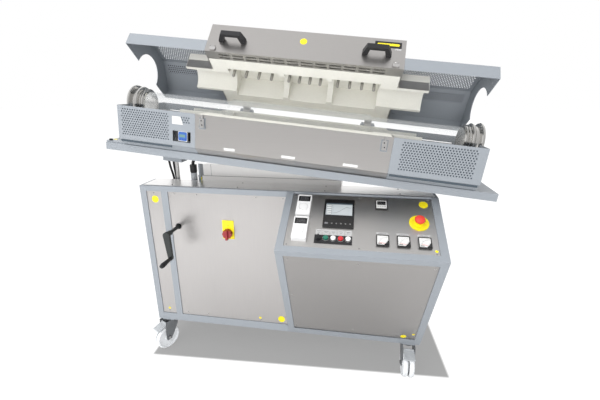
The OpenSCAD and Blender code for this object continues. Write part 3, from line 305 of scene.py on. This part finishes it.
NODE_FINISH = {
    "paint": ["lift_bracket", "base_frame", "castor_plates", "tilting_frame", "lower_end_housings",
              "hinge_brackets", "lid_end_covers"],
    "steel_panel_painted_light": ["control_panel"],
    "steel": ["tube_rests", "chassis_cover", "bottom_tray", "lower_centre_casing",
              "lid_centre_casing"],
    "steel_painted_light": ["top_plate", "pedestal"],
    "steel_v": ["front_panels", "side_panels", "rear_panel"],
    "steel_painted_shade": ["console_front_panel"],
    "bright": ["lift_spindle", "latch_left", "latch_right"],
    "turned": ["tube_flanges"],
    "insulation": ["lower_insulation", "lid_insulation"],
    "element": ["heating_elements"],
    "black": ["button_strip", "selector_knob", "crank_grip", "conduit_glands", "lid_handles",
              "display_module"],
    "cast": ["crank_arm", "screw_jack", "pivot_bearings"],
    "rubber": ["conduits"],
    "white": ["instrument_boxes", "dial_upper", "dial_lower"],
    "wheel": [f"castor_wheels_{i}" for i in range(1, 5)],
    "castor": ["brake_pedal_1", "brake_pedal_2"],
    "fork": [f"castor_fork_{i}" for i in range(1, 5)],
    "glass_black": ["touch_controller", "panel_meters"],
    "yellow": ["estop_collar", "main_switch_plate"],
    "red": ["estop_mushroom"],
    "dark_red": ["main_switch_handle"],
    "green": ["green_button"],
    "lamp_white": ["white_button_1", "white_button_2"],
    "lamp_red": ["red_button"],
    "quartz": ["work_tube"],
}


def dress_nodes(m):
    for finish, names in NODE_FINISH.items():
        for name in names:
            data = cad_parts[name].data
            data.materials.clear()
            data.materials.append(m[finish])


# ---- Fine detail ----
PANEL_Z = -3.0        # the sheet panels' faces, below the frame's, in millimetres


class Detail:
    """One piece of fine detail: plates, discs and rods in a frame of reference, in millimetres,
    each with a finish of its own. It rides on a body; its slot is kept but not used."""

    def __init__(self, name, place, body, slot):
        self.name, self.place, self.body, self.slot = name, place, body, slot
        self.mesh = bmesh.new()
        self.finishes = []

    def index(self, finish):
        if finish not in self.finishes:
            self.finishes.append(finish)
        return self.finishes.index(finish)

    def prism(self, points, z0, z1, finish, edge=0.0, local=Matrix.Identity(4), smooth=False):
        """An outline raised from z0 to z1, with its upper edge rounded by edge."""
        index = self.index(finish)
        rings = [[self.mesh.verts.new(local @ Vector((x, y, z))) for x, y in points]
                 for z in (z0, z1)]
        count = len(points)
        faces = [self.mesh.faces.new(rings[0][::-1]), self.mesh.faces.new(rings[1])]
        for i in range(count):
            j = (i + 1) % count
            side = self.mesh.faces.new((rings[0][i], rings[0][j], rings[1][j], rings[1][i]))
            side.smooth = smooth
            faces.append(side)
        for face in faces:
            face.material_index = index
        if edge:
            top = list(faces[1].edges)
            result = bmesh.ops.bevel(self.mesh, geom=top, offset=edge, segments=3, affect="EDGES",
                                     clamp_overlap=True, material=-1)
            for face in result["faces"]:
                face.material_index = index
                face.smooth = True

    def plate(self, x0, y0, x1, y1, z0, z1, finish, radius=0.0, edge=0.0):
        """A rectangle with rounded corners."""
        if not radius:
            points = [(x0, y0), (x1, y0), (x1, y1), (x0, y1)]
        else:
            points = []
            for cx, cy, start in ((x1 - radius, y0 + radius, -90), (x1 - radius, y1 - radius, 0),
                                  (x0 + radius, y1 - radius, 90), (x0 + radius, y0 + radius, 180)):
                for k in range(7):
                    a = math.radians(start + 15 * k)
                    points.append((cx + radius * math.cos(a), cy + radius * math.sin(a)))
        self.prism(points, z0, z1, finish, edge)

    def disc(self, x, y, r, z0, z1, finish, edge=0.0, local=Matrix.Identity(4), sides=40):
        angles = [2 * math.pi * k / sides for k in range(sides)]
        points = [(x + r * math.cos(a), y + r * math.sin(a)) for a in angles]
        self.prism(points, z0, z1, finish, edge, local, smooth=True)

    def rod(self, start, end, r, finish, edge=0.0, sides=20):
        start, end = Vector(start), Vector(end)
        turn = (end - start).to_track_quat("Z", "Y").to_matrix().to_4x4()
        place = Matrix.Translation(start) @ turn
        self.disc(0, 0, r, 0, (end - start).length, finish, edge, place, sides)

    def screw(self, x, y, r, z):
        """A pan-head screw; the dark hexagon on its head is painted shade for its socket."""
        self.disc(x, y, r, z, z + 0.45 * r, "bright", 0.3 * r, sides=24)
        self.disc(x, y, 0.42 * r, z + 0.3 * r, z + 0.46 * r, "black", sides=6)

    def sticker(self, x, y, r):
        """A plain yellow disc on a sheet panel."""
        self.disc(x, y, r, PANEL_Z, PANEL_Z + 0.3, "yellow")

    def ring(self, x, y, profile, finish, sides=40):
        """A profile of (radius, height) points turned about an axis through (x, y)."""
        index = self.index(finish)
        rings = []
        for r, z in profile:
            rings.append([])
            for k in range(sides):
                a = 2 * math.pi * k / sides
                corner = Vector((x + r * math.cos(a), y + r * math.sin(a), z))
                rings[-1].append(self.mesh.verts.new(corner))
        for i in range(len(rings)):
            lower, upper = rings[i], rings[(i + 1) % len(rings)]
            for k in range(sides):
                j = (k + 1) % sides
                face = self.mesh.faces.new((lower[k], lower[j], upper[j], upper[k]))
                face.smooth = True
                face.material_index = index

    def sweep(self, points, r, finish, sides=14):
        """A round tube along points."""
        index = self.index(finish)
        points = [Vector(p) for p in points]
        rings = []
        up = Vector((0, 1, 0))
        for i, p in enumerate(points):
            t = (points[min(i + 1, len(points) - 1)] - points[max(i - 1, 0)]).normalized()
            a = (up - t * up.dot(t)).normalized()
            b = t.cross(a)
            up = a
            rings.append([self.mesh.verts.new(p + r * (math.cos(2 * math.pi * k / sides) * a
                                                       + math.sin(2 * math.pi * k / sides) * b))
                          for k in range(sides)])
        for lower, upper in zip(rings, rings[1:]):
            for k in range(sides):
                j = (k + 1) % sides
                face = self.mesh.faces.new((lower[k], lower[j], upper[j], upper[k]))
                face.smooth = True
                face.material_index = index
        for ring, flip in ((rings[0], True), (rings[-1], False)):
            face = self.mesh.faces.new(ring[::-1] if flip else ring)
            face.material_index = index

    def make(self, materials):
        """Links the piece, in place and with its finishes, and leaves its body to the caller."""
        data = bpy.data.meshes.new(self.name)
        self.mesh.transform(self.place @ Matrix.Scale(MM, 4))
        bmesh.ops.recalc_face_normals(self.mesh, faces=self.mesh.faces)
        self.mesh.to_mesh(data)
        self.mesh.free()
        for finish in self.finishes:
            data.materials.append(materials[finish])
        obj = bpy.data.objects.new(self.name, data)
        bpy.context.scene.collection.objects.link(obj)
        return obj

    def build(self, materials):
        obj = self.make(materials)
        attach(obj, self.body)
        return obj


def screen_marks(d, x0, x1, s0, s1, z, finish, rows, seed):
    """Rows of short bars that stand for readings, without characters."""
    step = (s1 - s0) / rows
    for row in range(rows):
        x = x0
        top, bottom = -(s0 + row * step + 0.34 * step), -(s0 + row * step + 0.62 * step)
        k = seed + row
        while x < x1 - 3:
            k = (k * 37 + 11) % 101
            long = 2.0 + (k % 5) * 1.3
            d.plate(x, bottom, min(x + long, x1), top, z, z + 0.05, finish)
            x += long + 1.4


def control_details(m):
    """Faces, legends, bezels, stickers and screws of the sloping control panel."""
    d = Detail("touch_screen", ON_SLOPE, "base", "touch_glass")
    d.plate(215.5, -121, 322.5, -57, 1.9, 2.3, "screen", radius=1)
    d.plate(215.5, -64, 322.5, -57, 2.3, 2.36, "dark_screen_and_shade")
    d.plate(217, -119.5, 240, -66, 2.3, 2.36, "screen_mid")
    for k in range(5):
        d.plate(219, -(70 + k * 10 + 6), 238, -(70 + k * 10), 2.36, 2.42, "screen_light")
    curve = [(x, -(112 - 30 / (1 + math.exp(-(x - 275) / 9)) - 6 * math.exp(-((x - 300) / 9) ** 2)))
             for x in range(246, 320, 3)]
    for (xa, ya), (xb, yb) in zip(curve, curve[1:]):
        d.rod((xa, ya, 2.4), (xb, yb, 2.4), 0.5, "dark_screen_and_shade", sides=6)
    d.plate(244, -117, 320, -116.3, 2.36, 2.42, "screen_mid")
    d.plate(244, -117, 244.7, -67, 2.36, 2.42, "screen_mid")
    d.plate(215, -170, 229, -160, 3.0, 3.1, "grey_mark", radius=1)
    for x in (244, 262, 280, 298, 316):
        d.disc(x, -165, 3.2, 3.0, 3.12, "meter_rim")
    d.disc(211.5, -40.5, 1.4, 3.0, 3.2, "grey_mark", 0.1)
    d.build(m)

    d = Detail("button_legends", ON_SLOPE, "base", "box_white")
    for i in range(5):
        x = 197 + 28.5 * i
        d.plate(x - 13, -229, x + 13, -194, PANEL_Z, PANEL_Z + 0.9, "label_grey", radius=1.5,
                edge=0.2)
        d.plate(x - 7 - i % 2, -(203 + i % 3), x + 7 + i % 2, -(201 + i % 3), PANEL_Z + 0.9,
                PANEL_Z + 0.96, "grey_mark")
        d.plate(x - 5, -210, x + 5, -208.4, PANEL_Z + 0.9, PANEL_Z + 0.96, "grey_mark")
    d.build(m)

    d = Detail("button_bezels", ON_SLOPE, "base", "bright_steel")
    for i in range(1, 5):
        x = 197 + 28.5 * i
        points = [(13, 0), (13, 1.2), (12, 2.0), (11.2, 2.0), (11.2, 0)]
        d.ring(x, -238, points, "meter_rim")
    d.build(m)

    d = Detail("limit_controller", ON_SLOPE, "base", "box_white")
    d.plate(418.5, -75.5, 459.5, -34.5, 4.0, 5.4, "plastic_white", radius=1.5, edge=0.4)
    d.plate(422, -58, 456, -38, 5.4, 5.6, "glass_black", radius=1)
    for k in range(3):
        d.plate(426 + 10 * k, -50, 433 + 10 * k, -49, 5.6, 5.65, "grey_mark")
        d.plate(426 + 10 * k, -46, 427 + 10 * k, -42, 5.6, 5.65, "grey_mark")
    for k in range(4):
        d.plate(422 + 9 * k, -70, 429 + 9 * k, -63, 5.4, 5.9, "label_grey", radius=1, edge=0.2)
    d.build(m)

    d = Detail("meter_faces", ON_SLOPE, "base", "meter_black")
    for n, x in enumerate((439, 515, 591)):
        d.plate(x - 20.3, -253.3, x + 20.3, -212.7, 4.0, 4.4, "plastic_white", radius=1)
        d.prism([(x + 20.3, -253.3), (x + 20.3, -234), (x + 14, -244), (x + 6, -253.3)], 4.4, 7.2,
                "glass_black", 0.5)
        d.plate(x - 17, -250, x - 4, -247, 4.4, 4.5, "grey_dark")
        for k in range(11):
            a = math.radians(90 + 9 * k)
            cx, cy, r0, r1 = x + 15, -249, 27, 31
            if k % 5 == 0:
                r1 = 33
            d.rod((cx + r0 * math.cos(a), cy + r0 * math.sin(a), 4.4),
                  (cx + r1 * math.cos(a), cy + r1 * math.sin(a), 4.4), 0.35, "grey_dark", sides=6)
        a = math.radians(172 - 4 * n)
        d.rod((x + 15, -249, 4.9), (x + 15 + 28 * math.cos(a), -249 + 28 * math.sin(a), 4.9),
              0.45, "red", sides=6)
        d.plate(x - 23, -202, x + 23, -193, PANEL_Z, PANEL_Z + 0.8, "label_grey", radius=1,
                edge=0.2)
        d.plate(x - 15, -198.6, x + 15, -196.8, PANEL_Z + 0.8, PANEL_Z + 0.86, "grey_mark")
    d.build(m)

    d = Detail("instrument_faces", ON_SLOPE, "base", "box_white")
    for s in (84, 203):
        y = -s + 54 - 22
        d.plate(98.5, y - 14.5, 147.5, y + 14.5, 15.4, 16.6, "glass_black", radius=1, edge=0.3)
        screen_marks(d, 106, 141, -(y + 9), -(y - 9), 16.6, "grey_mark", 3, seed=s)
        turn = Matrix.Translation((123, -s - 14, 0))
        for k in range(25):
            a = math.radians(-45 + 270 * k / 24)
            r0, r1 = 17.5, 20 if k % 4 else 21.5
            d.rod(turn @ Vector((r0 * math.cos(a), r0 * math.sin(a), 17.0)),
                  turn @ Vector((r1 * math.cos(a), r1 * math.sin(a), 17.0)),
                  0.3, "grey_mark", sides=6)
        for x in (98, 148):
            for y in (-s + 50, -s - 50):
                d.disc(x, y, 1.6, 16.9, 17.2, "label_grey", 0.1, sides=16)
    d.build(m)

    d = Detail("panel_stickers", ON_SLOPE, "base", "signal_yellow")
    d.sticker(606, -40, 18)
    d.sticker(629, -264, 5.5)
    d.build(m)

    d = Detail("panel_screws", ON_SLOPE, "base", "bright_steel")
    for x, s in ((78, 274), (353, 274), (628, 277), (628, 12), (78, 18), (353, 18)):
        d.screw(x, -s, 3.5, PANEL_Z)
    d.build(m)


def cabinet_details(m):
    """Stickers, screws and the switch plate's marks on the cabinet."""
    d = Detail("front_stickers", ON_FRONT, "base", "signal_yellow")
    d.sticker(-600, 835, 17)
    d.sticker(-603, 234, 6)
    d.sticker(-1, 232, 17)
    d.sticker(-111, 228, 6)
    d.build(m)
    d = Detail("front_screws", ON_FRONT, "base", "bright_steel")
    for x, z in ((-390, 866), (-108, 866), (-389, 221), (-108, 216), (-500, 866), (17, 866),
                 (-500, 221), (-603, 866), (-603, 221)):
        d.screw(x, z, 3.5, PANEL_Z)
    d.build(m)
    d = Detail("console_stickers", ON_LOWER, "base", "signal_yellow")
    d.sticker(586, -574, 13)
    d.sticker(628, -547, 6)
    d.build(m)
    d = Detail("console_screws", ON_LOWER, "base", "bright_steel")
    for x in (80, 353, 627):
        for y in (-49, -303, -560):
            if x != 353 or y != -303:
                d.screw(x, y, 3.5, PANEL_Z)
    d.build(m)
    d = Detail("top_screws", STAND, "base", "bright_steel")
    for x in (-520, -200, 200, 520):
        for y in (27, 105):
            d.screw(x, y, 4, 902)
    d.build(m)
    d = Detail("switch_plate_face", ON_FRONT, "base", "switch_red")
    for k in range(12):
        a = math.radians(30 * k)
        x, z = -247 + 24.2 * math.cos(a), 686 + 24.2 * math.sin(a)
        d.disc(x, z, 0.8, 4.0, 4.15, "grey_dark", sides=8)
    d.plate(-251, 723, -243, 724.5, 0.0, 0.1, "grey_dark")
    d.plate(-256, 657, -238, 658.5, 0.0, 0.1, "grey_dark")
    d.build(m)


# Where the lid covers' rear slopes start, how far they drop over what run, and the spacing of the
# discs that stand for their holes
COVER_TOP_REAR, COVER_DROP, COVER_RUN = 0.140, 0.082, 0.110
HOLE_ROWS, HOLES_IN_ROW, HOLE_PITCH, ROW_PITCH = 12, 28, 10.5, 9.1


def furnace_details(m):
    """The furnace's labels, display, latches, lid plate, sticker, strips, sheets and hole marks of
    painted shade.
    """
    d = Detail("furnace_labels", ON_TILT_FRONT, "tilt", "box_white")
    for x0, x1 in ((-264, -218), (-28, 26), (213, 270)):
        d.plate(x0, 81, x1, 91, 0.0, 0.3, "plastic_white", radius=1)
    d.prism([(-482, 161), (-436, 161), (-446, 192), (-482, 192)], 0.0, 0.4, "plastic_white")
    d.build(m)
    d = Detail("display_face", ON_TILT_FRONT, "tilt", "display_blue")
    d.plate(-459, 95, -420, 134, -6.0, -3.4, "plastic_white", radius=3, edge=0.5)
    d.plate(-457.5, 97, -421.5, 132.5, -3.4, -2.6, "blue", radius=5, edge=0.3)
    d.plate(-453.5, 111, -429, 122, -2.6, -2.3, "lcd", radius=1)
    for k in range(3):
        d.disc(-449 + 10 * k, 103, 2.6, -2.6, -2.0, "blue_dark", 0.3, sides=20)
    d.build(m)
    d = Detail("lug_bolts", ON_TILT, "tilt", "cast_black")
    for y in (-58, 8):
        d.disc(-797, y, 9, 50, 51.6, "fork", 0.3)
        d.disc(-797, y, 7.5, 51.6, 57, "cast", 0.6, sides=6)
    d.disc(-797, -28, 9, 50, 50.3, "yellow")
    d.build(m)
    for side, x in (("l", -354), ("r", 354)):
        d = Detail(f"latch_face_{side}", ON_TILT_FRONT, f"latch_{side}", "bright_steel")
        d.plate(x - 8, 161, x + 8, 195, 8.0, 8.5, "bright", radius=3, edge=0.2)
        d.disc(x - 2, 187, 2.6, 8.5, 8.6, "black")
        d.disc(x + 1, 171, 2.6, 8.5, 8.6, "black")
        d.build(m)
        d = Detail(f"catch_face_{side}", ON_LID_FRONT, "lid", "bright_steel")
        d.plate(x - 12, 217, x + 12, 232, 3.0, 4.2, "bright", radius=2, edge=0.3)
        d.rod((x - 10, 234, 4.5), (x + 10, 234, 4.5), 2.0, "bright")
        d.build(m)

    d = Detail("lid_plate", ON_LID_FRONT, "lid", "black_plastic")
    d.plate(268, 303, 368, 330, 0.0, 1.0, "black", radius=1, edge=0.2)
    d.plate(277, 311, 360, 322, 1.0, 1.2, "yellow", radius=5)
    d.plate(343, 294, 368, 301, 0.0, 0.3, "label_grey", radius=1)
    d.build(m)
    d = Detail("lid_sticker", ON_LID_FRONT, "lid", "signal_yellow")
    d.disc(-3.5, 297, 14, 0.0, 0.3, "yellow")
    d.build(m)

    d = Detail("neck_strips", ON_LID, "lid", "stainless")
    for x0, x1 in ((-503, -388), (388, 503)):
        d.prism([(x0, -3.6), (x1, -3.6), (x1, -2.2), (x0, -2.2)], 212, 248, "steel")
        d.prism([(x0, -3.6), (x1, -3.6), (x1, 12), (x0, 12)], 248, 249.2, "steel")
    d.build(m)

    # Dark sheets behind the perforated fronts of the end housings: painted shade for the dark seen
    # through the holes
    d = Detail("housing_shade_sheets", ON_TILT_FRONT, "tilt", "black_plastic")
    for x0, y0, x1, y1 in ((-712, 64, -485, 203), (-485, 138, -392, 203), (392, 64, 712, 203)):
        d.plate(x0, y0, x1, y1, -2.9, -2.5, "dark_screen_and_shade")
    d.build(m)

    # Dark discs stand for the holes in the lid covers' rear slopes; their dark is painted shade
    slope_angle = math.atan2(-COVER_DROP, COVER_RUN)
    place = (ON_LID @ Matrix.Translation((0, COVER_TOP_REAR, LID_TOP))
             @ Matrix.Rotation(slope_angle, 4, "X"))
    d = Detail("cover_hole_shade", place, "lid", "frame_paint")
    for x0, x1 in ((-703, -401), (401, 703)):
        for row in range(HOLE_ROWS):
            for k in range(HOLES_IN_ROW - row % 2):
                x = x0 + 8 + HOLE_PITCH * (k + (row % 2) / 2)
                d.disc(x, 20 + ROW_PITCH * row, 3, -2.08, 0.08, "grey_dark", sides=8)
    d.build(m)


# The conduits' centrelines as (x, z) in the plane y, and their diameters, in millimetres
CONDUITS = [
    (206, 11, [(-602, 662), (-602, 690), (-602, 720), (-603, 760), (-604, 800), (-605, 840),
               (-607, 875), (-611, 905), (-617, 930), (-622, 955), (-625, 980), (-625, 1000),
               (-624.2, 1018), (-621.2, 1047.7)]),
    (206, 11, [(-584, 662), (-584, 690), (-585, 720), (-587, 760), (-590, 800), (-592, 840),
               (-594, 875), (-596, 905), (-598, 930), (-600, 955), (-600.5, 980), (-600, 1000),
               (-599.2, 1016), (-596.3, 1045.1)]),
    (156, 15, [(-469, 974), (-469, 982), (-465, 992), (-458, 1004), (-452, 1020), (-449, 1036),
               (-447.2, 1053), (-444.2, 1082.4)])]
ROUTE_STEPS = 6    # points of the smooth route for each one that is given


def make_conduits(m):
    """The conduits, swept as tubes along smooth routes between the chassis and the tilting frame,
    in place of the imported ones.
    """
    for i, (y, diameter, route) in enumerate(CONDUITS):
        points = [Vector((x, y, z)) for x, z in route]
        fine = []
        for j in range(len(points) - 1):
            a, b = points[max(j - 1, 0)], points[j]
            c, e = points[j + 1], points[min(j + 2, len(points) - 1)]
            for k in range(ROUTE_STEPS):
                t = k / ROUTE_STEPS
                fine.append(0.5 * (2 * b + (c - a) * t + (2 * a - 5 * b + 4 * c - e) * t * t
                                   + (3 * b - a - 3 * c + e) * t ** 3))
        fine.append(points[-1])
        piece = Detail(f"conduit_{i + 1}", STAND, "base", "conduit_black")
        piece.sweep(fine, diameter / 2, "rubber", 20)
        obj = piece.make(m)
        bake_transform(obj)
        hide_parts("conduits")


def lift_details(m):
    """The connector's grey barrel, and the seams and the left edge of the pedestal."""
    d = Detail("connector_barrel", STAND, "base", "castor_grey")
    d.ring(-469, 156, [(14.9, 882), (15.6, 882), (15.6, 934), (14.9, 934)], "castor")
    d.build(m)
    d = Detail("pedestal_edge", ON_FRONT, "base", "stainless")
    # A gap filler in the lighter stainless copy, painted light
    d.plate(-412, 970.2, -392.2, 984, -136, -132.6, "steel_painted_light")
    d.plate(-432, 903, -424, 984, -137, -133, "paint")
    d.plate(-424, 903, -412.2, 984, -136, -134, "fork")
    d.plate(-412.2, 925.4, -407, 984, -132.5, -132.2, "fork")
    d.plate(-366.8, 925.4, -365.4, 984, -132.5, -132.3, "grey_mark")
    d.plate(-407, 925.2, 268, 926.6, -132.5, -132.3, "grey_mark")
    d.rod((-420, 903, -131.5), (-418, 918, -131.5), 1.8, "yellow")
    d.rod((-423, 903, -131.5), (-425, 911, -131.5), 1.8, "green")
    d.build(m)


# The castors' places and turns, in millimetres and degrees, and their sizes in millimetres
CASTORS = [((-620, 35), -28), ((620, 35), 0), ((-620, 565), 12), ((620, 565), -8)]
AXLE_Z, AXLE_PROUD, HALF_WHEELS, TRAIL = 62.5, 9, 25.5, 44
PEDAL_TOP, PEDAL_RISE, PEDAL_RUN = 143, 17, 54
PEDAL_RIBS, RIB_PITCH, RIB_WIDTH = 7, 6, 2.5


def castor_details(m):
    """Axle screws on the forks and ribs on the brake pedals."""
    for i, ((x, y), swivel) in enumerate(CASTORS):
        place = (STAND @ Matrix.Translation((x * MM, y * MM, 0))
                 @ Matrix.Rotation(math.radians(swivel), 4, "Z"))
        d = Detail(f"axle_screws_{i + 1}", place, f"fork_{i + 1}", "bright_steel")
        for side in (-1, 1):
            end = side * (HALF_WHEELS + AXLE_PROUD)
            d.rod((end, -TRAIL, AXLE_Z), (end + side * 1.5, -TRAIL, AXLE_Z), 7, "meter_rim", 0.4)
        d.build(m)
        if i < 2:
            slant = math.atan2(PEDAL_RISE, PEDAL_RUN)
            slope = (place @ Matrix.Translation((0, -TRAIL * MM, PEDAL_TOP * MM))
                     @ Matrix.Rotation(slant, 4, "X"))
            d = Detail(f"pedal_ribs_{i + 1}", slope, f"pedal_{i + 1}", "castor_grey")
            for k in range(PEDAL_RIBS):
                y = -PEDAL_RUN + RIB_PITCH * k
                d.plate(-HALF_WHEELS + 2, y, HALF_WHEELS - 2, y + RIB_WIDTH, 0, 1.6, "castor")
            d.build(m)


def make_details(m):
    make_conduits(m)
    lift_details(m)
    castor_details(m)
    control_details(m)
    cabinet_details(m)
    furnace_details(m)


# ---- Studio ----
# Brightness of the surroundings: level, and its slopes to the right, upwards and behind
WORLD_LEVEL, WORLD_RIGHT, WORLD_UP, WORLD_BEHIND = 0.62, -0.22, 0.16, 0.6
FLOOR_BOUNCE, FLOOR_SEEN, FLOOR_SIZE, SHADE_SOFT = 0.68, 0.10, 30, 0.006
# The painted shadow on the floor below the cabinet: its turn, middle, half sizes and brightness
SHADE_TURN = math.radians(2.9)
SHADE_HALF = (0.752, 0.300)
SHADE_CENTRE = (0.0, 0.0895, 0)
SHADE_GLOW = 0.31
# Name, place, what it aims at, watts, size, and whether it shows in gloss
LAMPS = [("key", (-2.2, -2.4, 3.0), (0, 0, 0.8), 56, 3.2, False),
         ("fill", (-0.6, -3.8, 0.9), (0, 0, 0.5), 34, 2.6, False),
         ("top", (-0.6, 0.2, 4.2), (0, 0.2, 0.9), 60, 3.0, False),
         ("low", (-1.5, -2.4, 0.55), (-0.5, 0, 0.25), 13, 1.2, False),
         ("right", (2.8, -2.4, 2.2), (0.3, 0, 1.2), 16, 2.0, False),
         ("console", (0.7, -2.4, 0.8), (0.3, 0, 0.9), 9, 1.4, False),
         ("spark", (-1.4, -2.6, 3.2), (0, 0, 0.9), 3, 0.25, True)]


def camera_rays(nodes):
    path = add(nodes, "ShaderNodeLightPath")
    return path.outputs["Is Camera Ray"]


def make_world(scene):
    world = bpy.data.worlds.new("studio")
    scene.world = world
    world.use_nodes = True
    nodes, links = world.node_tree.nodes, world.node_tree.links
    background = nodes["Background"]
    coords = add(nodes, "ShaderNodeTexCoord")
    split = add(nodes, "ShaderNodeSeparateXYZ")
    links.new(coords.outputs["Generated"], split.inputs["Vector"])
    # Bright on the left, overhead and behind, dim on the right and at floor level
    blend = add(nodes, "ShaderNodeMath", operation="MULTIPLY_ADD")
    blend.inputs[1].default_value = WORLD_RIGHT
    blend.inputs[2].default_value = WORLD_LEVEL
    links.new(split.outputs["X"], blend.inputs[0])
    lift = add(nodes, "ShaderNodeMath", operation="MULTIPLY_ADD")
    lift.inputs[1].default_value = WORLD_UP
    links.new(split.outputs["Z"], lift.inputs[0])
    links.new(blend.outputs["Value"], lift.inputs[2])
    behind = add(nodes, "ShaderNodeMath", operation="MAXIMUM")
    behind.inputs[1].default_value = 0.0
    links.new(split.outputs["Y"], behind.inputs[0])
    total = add(nodes, "ShaderNodeMath", operation="MULTIPLY_ADD")
    total.inputs[1].default_value = WORLD_BEHIND
    links.new(behind.outputs["Value"], total.inputs[0])
    links.new(lift.outputs["Value"], total.inputs[2])
    mix = add(nodes, "ShaderNodeMix", data_type="RGBA")
    links.new(camera_rays(nodes), mix.inputs["Factor"])
    links.new(total.outputs["Value"], mix.inputs["A"])
    mix.inputs["B"].default_value = (1, 1, 1, 1)
    links.new(mix.outputs["Result"], background.inputs["Color"])
    background.inputs["Strength"].default_value = 1.0


def soft_edge(nodes, links, value, limit, soft):
    """1 where |value| is under limit, 0 beyond it, over the width soft."""
    size = add(nodes, "ShaderNodeMath", operation="ABSOLUTE")
    links.new(value, size.inputs[0])
    remap = add(nodes, "ShaderNodeMapRange")
    remap.inputs["From Min"].default_value = limit - soft
    remap.inputs["From Max"].default_value = limit + soft
    remap.inputs["To Min"].default_value = 1.0
    remap.inputs["To Max"].default_value = 0.0
    links.new(size.outputs["Value"], remap.inputs["Value"])
    return remap.outputs["Result"]


def make_floor(scene):
    """A floor that burns out to white round the cabinet, with a grey painted shadow below it."""
    mesh = bpy.data.meshes.new("floor")
    size = FLOOR_SIZE
    mesh.from_pydata([(-size, -size, 0), (size, -size, 0), (size, size, 0), (-size, size, 0)], [],
                     [(0, 1, 2, 3)])
    floor = bpy.data.objects.new("floor", mesh)
    scene.collection.objects.link(floor)
    material, nodes, links, bsdf = node_tree("floor")
    camera = camera_rays(nodes)
    tint = add(nodes, "ShaderNodeMix", data_type="RGBA")
    links.new(camera, tint.inputs["Factor"])
    tint.inputs["A"].default_value = (FLOOR_BOUNCE,) * 3 + (1,)
    tint.inputs["B"].default_value = (FLOOR_SEEN,) * 3 + (1,)
    links.new(tint.outputs["Result"], bsdf.inputs["Base Color"])
    bsdf.inputs["Roughness"].default_value = 1.0
    bsdf.inputs["Specular IOR Level"].default_value = 0.0
    coords = add(nodes, "ShaderNodeTexCoord")
    mapping = add(nodes, "ShaderNodeMapping", vector_type="TEXTURE")
    mapping.inputs["Location"].default_value = SHADE_CENTRE
    mapping.inputs["Rotation"].default_value = (0, 0, SHADE_TURN)
    links.new(coords.outputs["Object"], mapping.inputs["Vector"])
    split = add(nodes, "ShaderNodeSeparateXYZ")
    links.new(mapping.outputs["Vector"], split.inputs["Vector"])
    # Painted shadow: a soft-edged rectangle below the cabinet, grey where the camera sees it
    painted_shadow_mask = add(nodes, "ShaderNodeMath", operation="MULTIPLY")
    for i, half in enumerate(SHADE_HALF):
        inside = soft_edge(nodes, links, split.outputs["XY"[i]], half, SHADE_SOFT)
        links.new(inside, painted_shadow_mask.inputs[i])
    glow = add(nodes, "ShaderNodeMapRange")
    glow.inputs["To Min"].default_value = 1.0
    glow.inputs["To Max"].default_value = SHADE_GLOW
    links.new(painted_shadow_mask.outputs["Value"], glow.inputs["Value"])
    seen = add(nodes, "ShaderNodeMath", operation="MULTIPLY")
    links.new(camera, seen.inputs[0])
    links.new(glow.outputs["Result"], seen.inputs[1])
    bsdf.inputs["Emission Color"].default_value = (1, 1, 1, 1)
    links.new(seen.outputs["Value"], bsdf.inputs["Emission Strength"])
    floor.data.materials.append(material)


def make_lamps(scene):
    for name, place, aim, energy, size, glossy in LAMPS:
        lamp = bpy.data.lights.new(name, "AREA")
        lamp.energy = energy
        lamp.size = size
        obj = bpy.data.objects.new(name, lamp)
        obj.location = place
        obj.rotation_euler = (Vector(aim) - Vector(place)).to_track_quat("-Z", "Y").to_euler()
        obj.visible_glossy = glossy
        scene.collection.objects.link(obj)


def make_studio():
    scene = bpy.context.scene
    scene.view_settings.view_transform = "Standard"
    make_world(scene)
    make_floor(scene)
    make_lamps(scene)


make_camera()
make_studio()
materials = make_materials()
dress_nodes(materials)
make_details(materials)
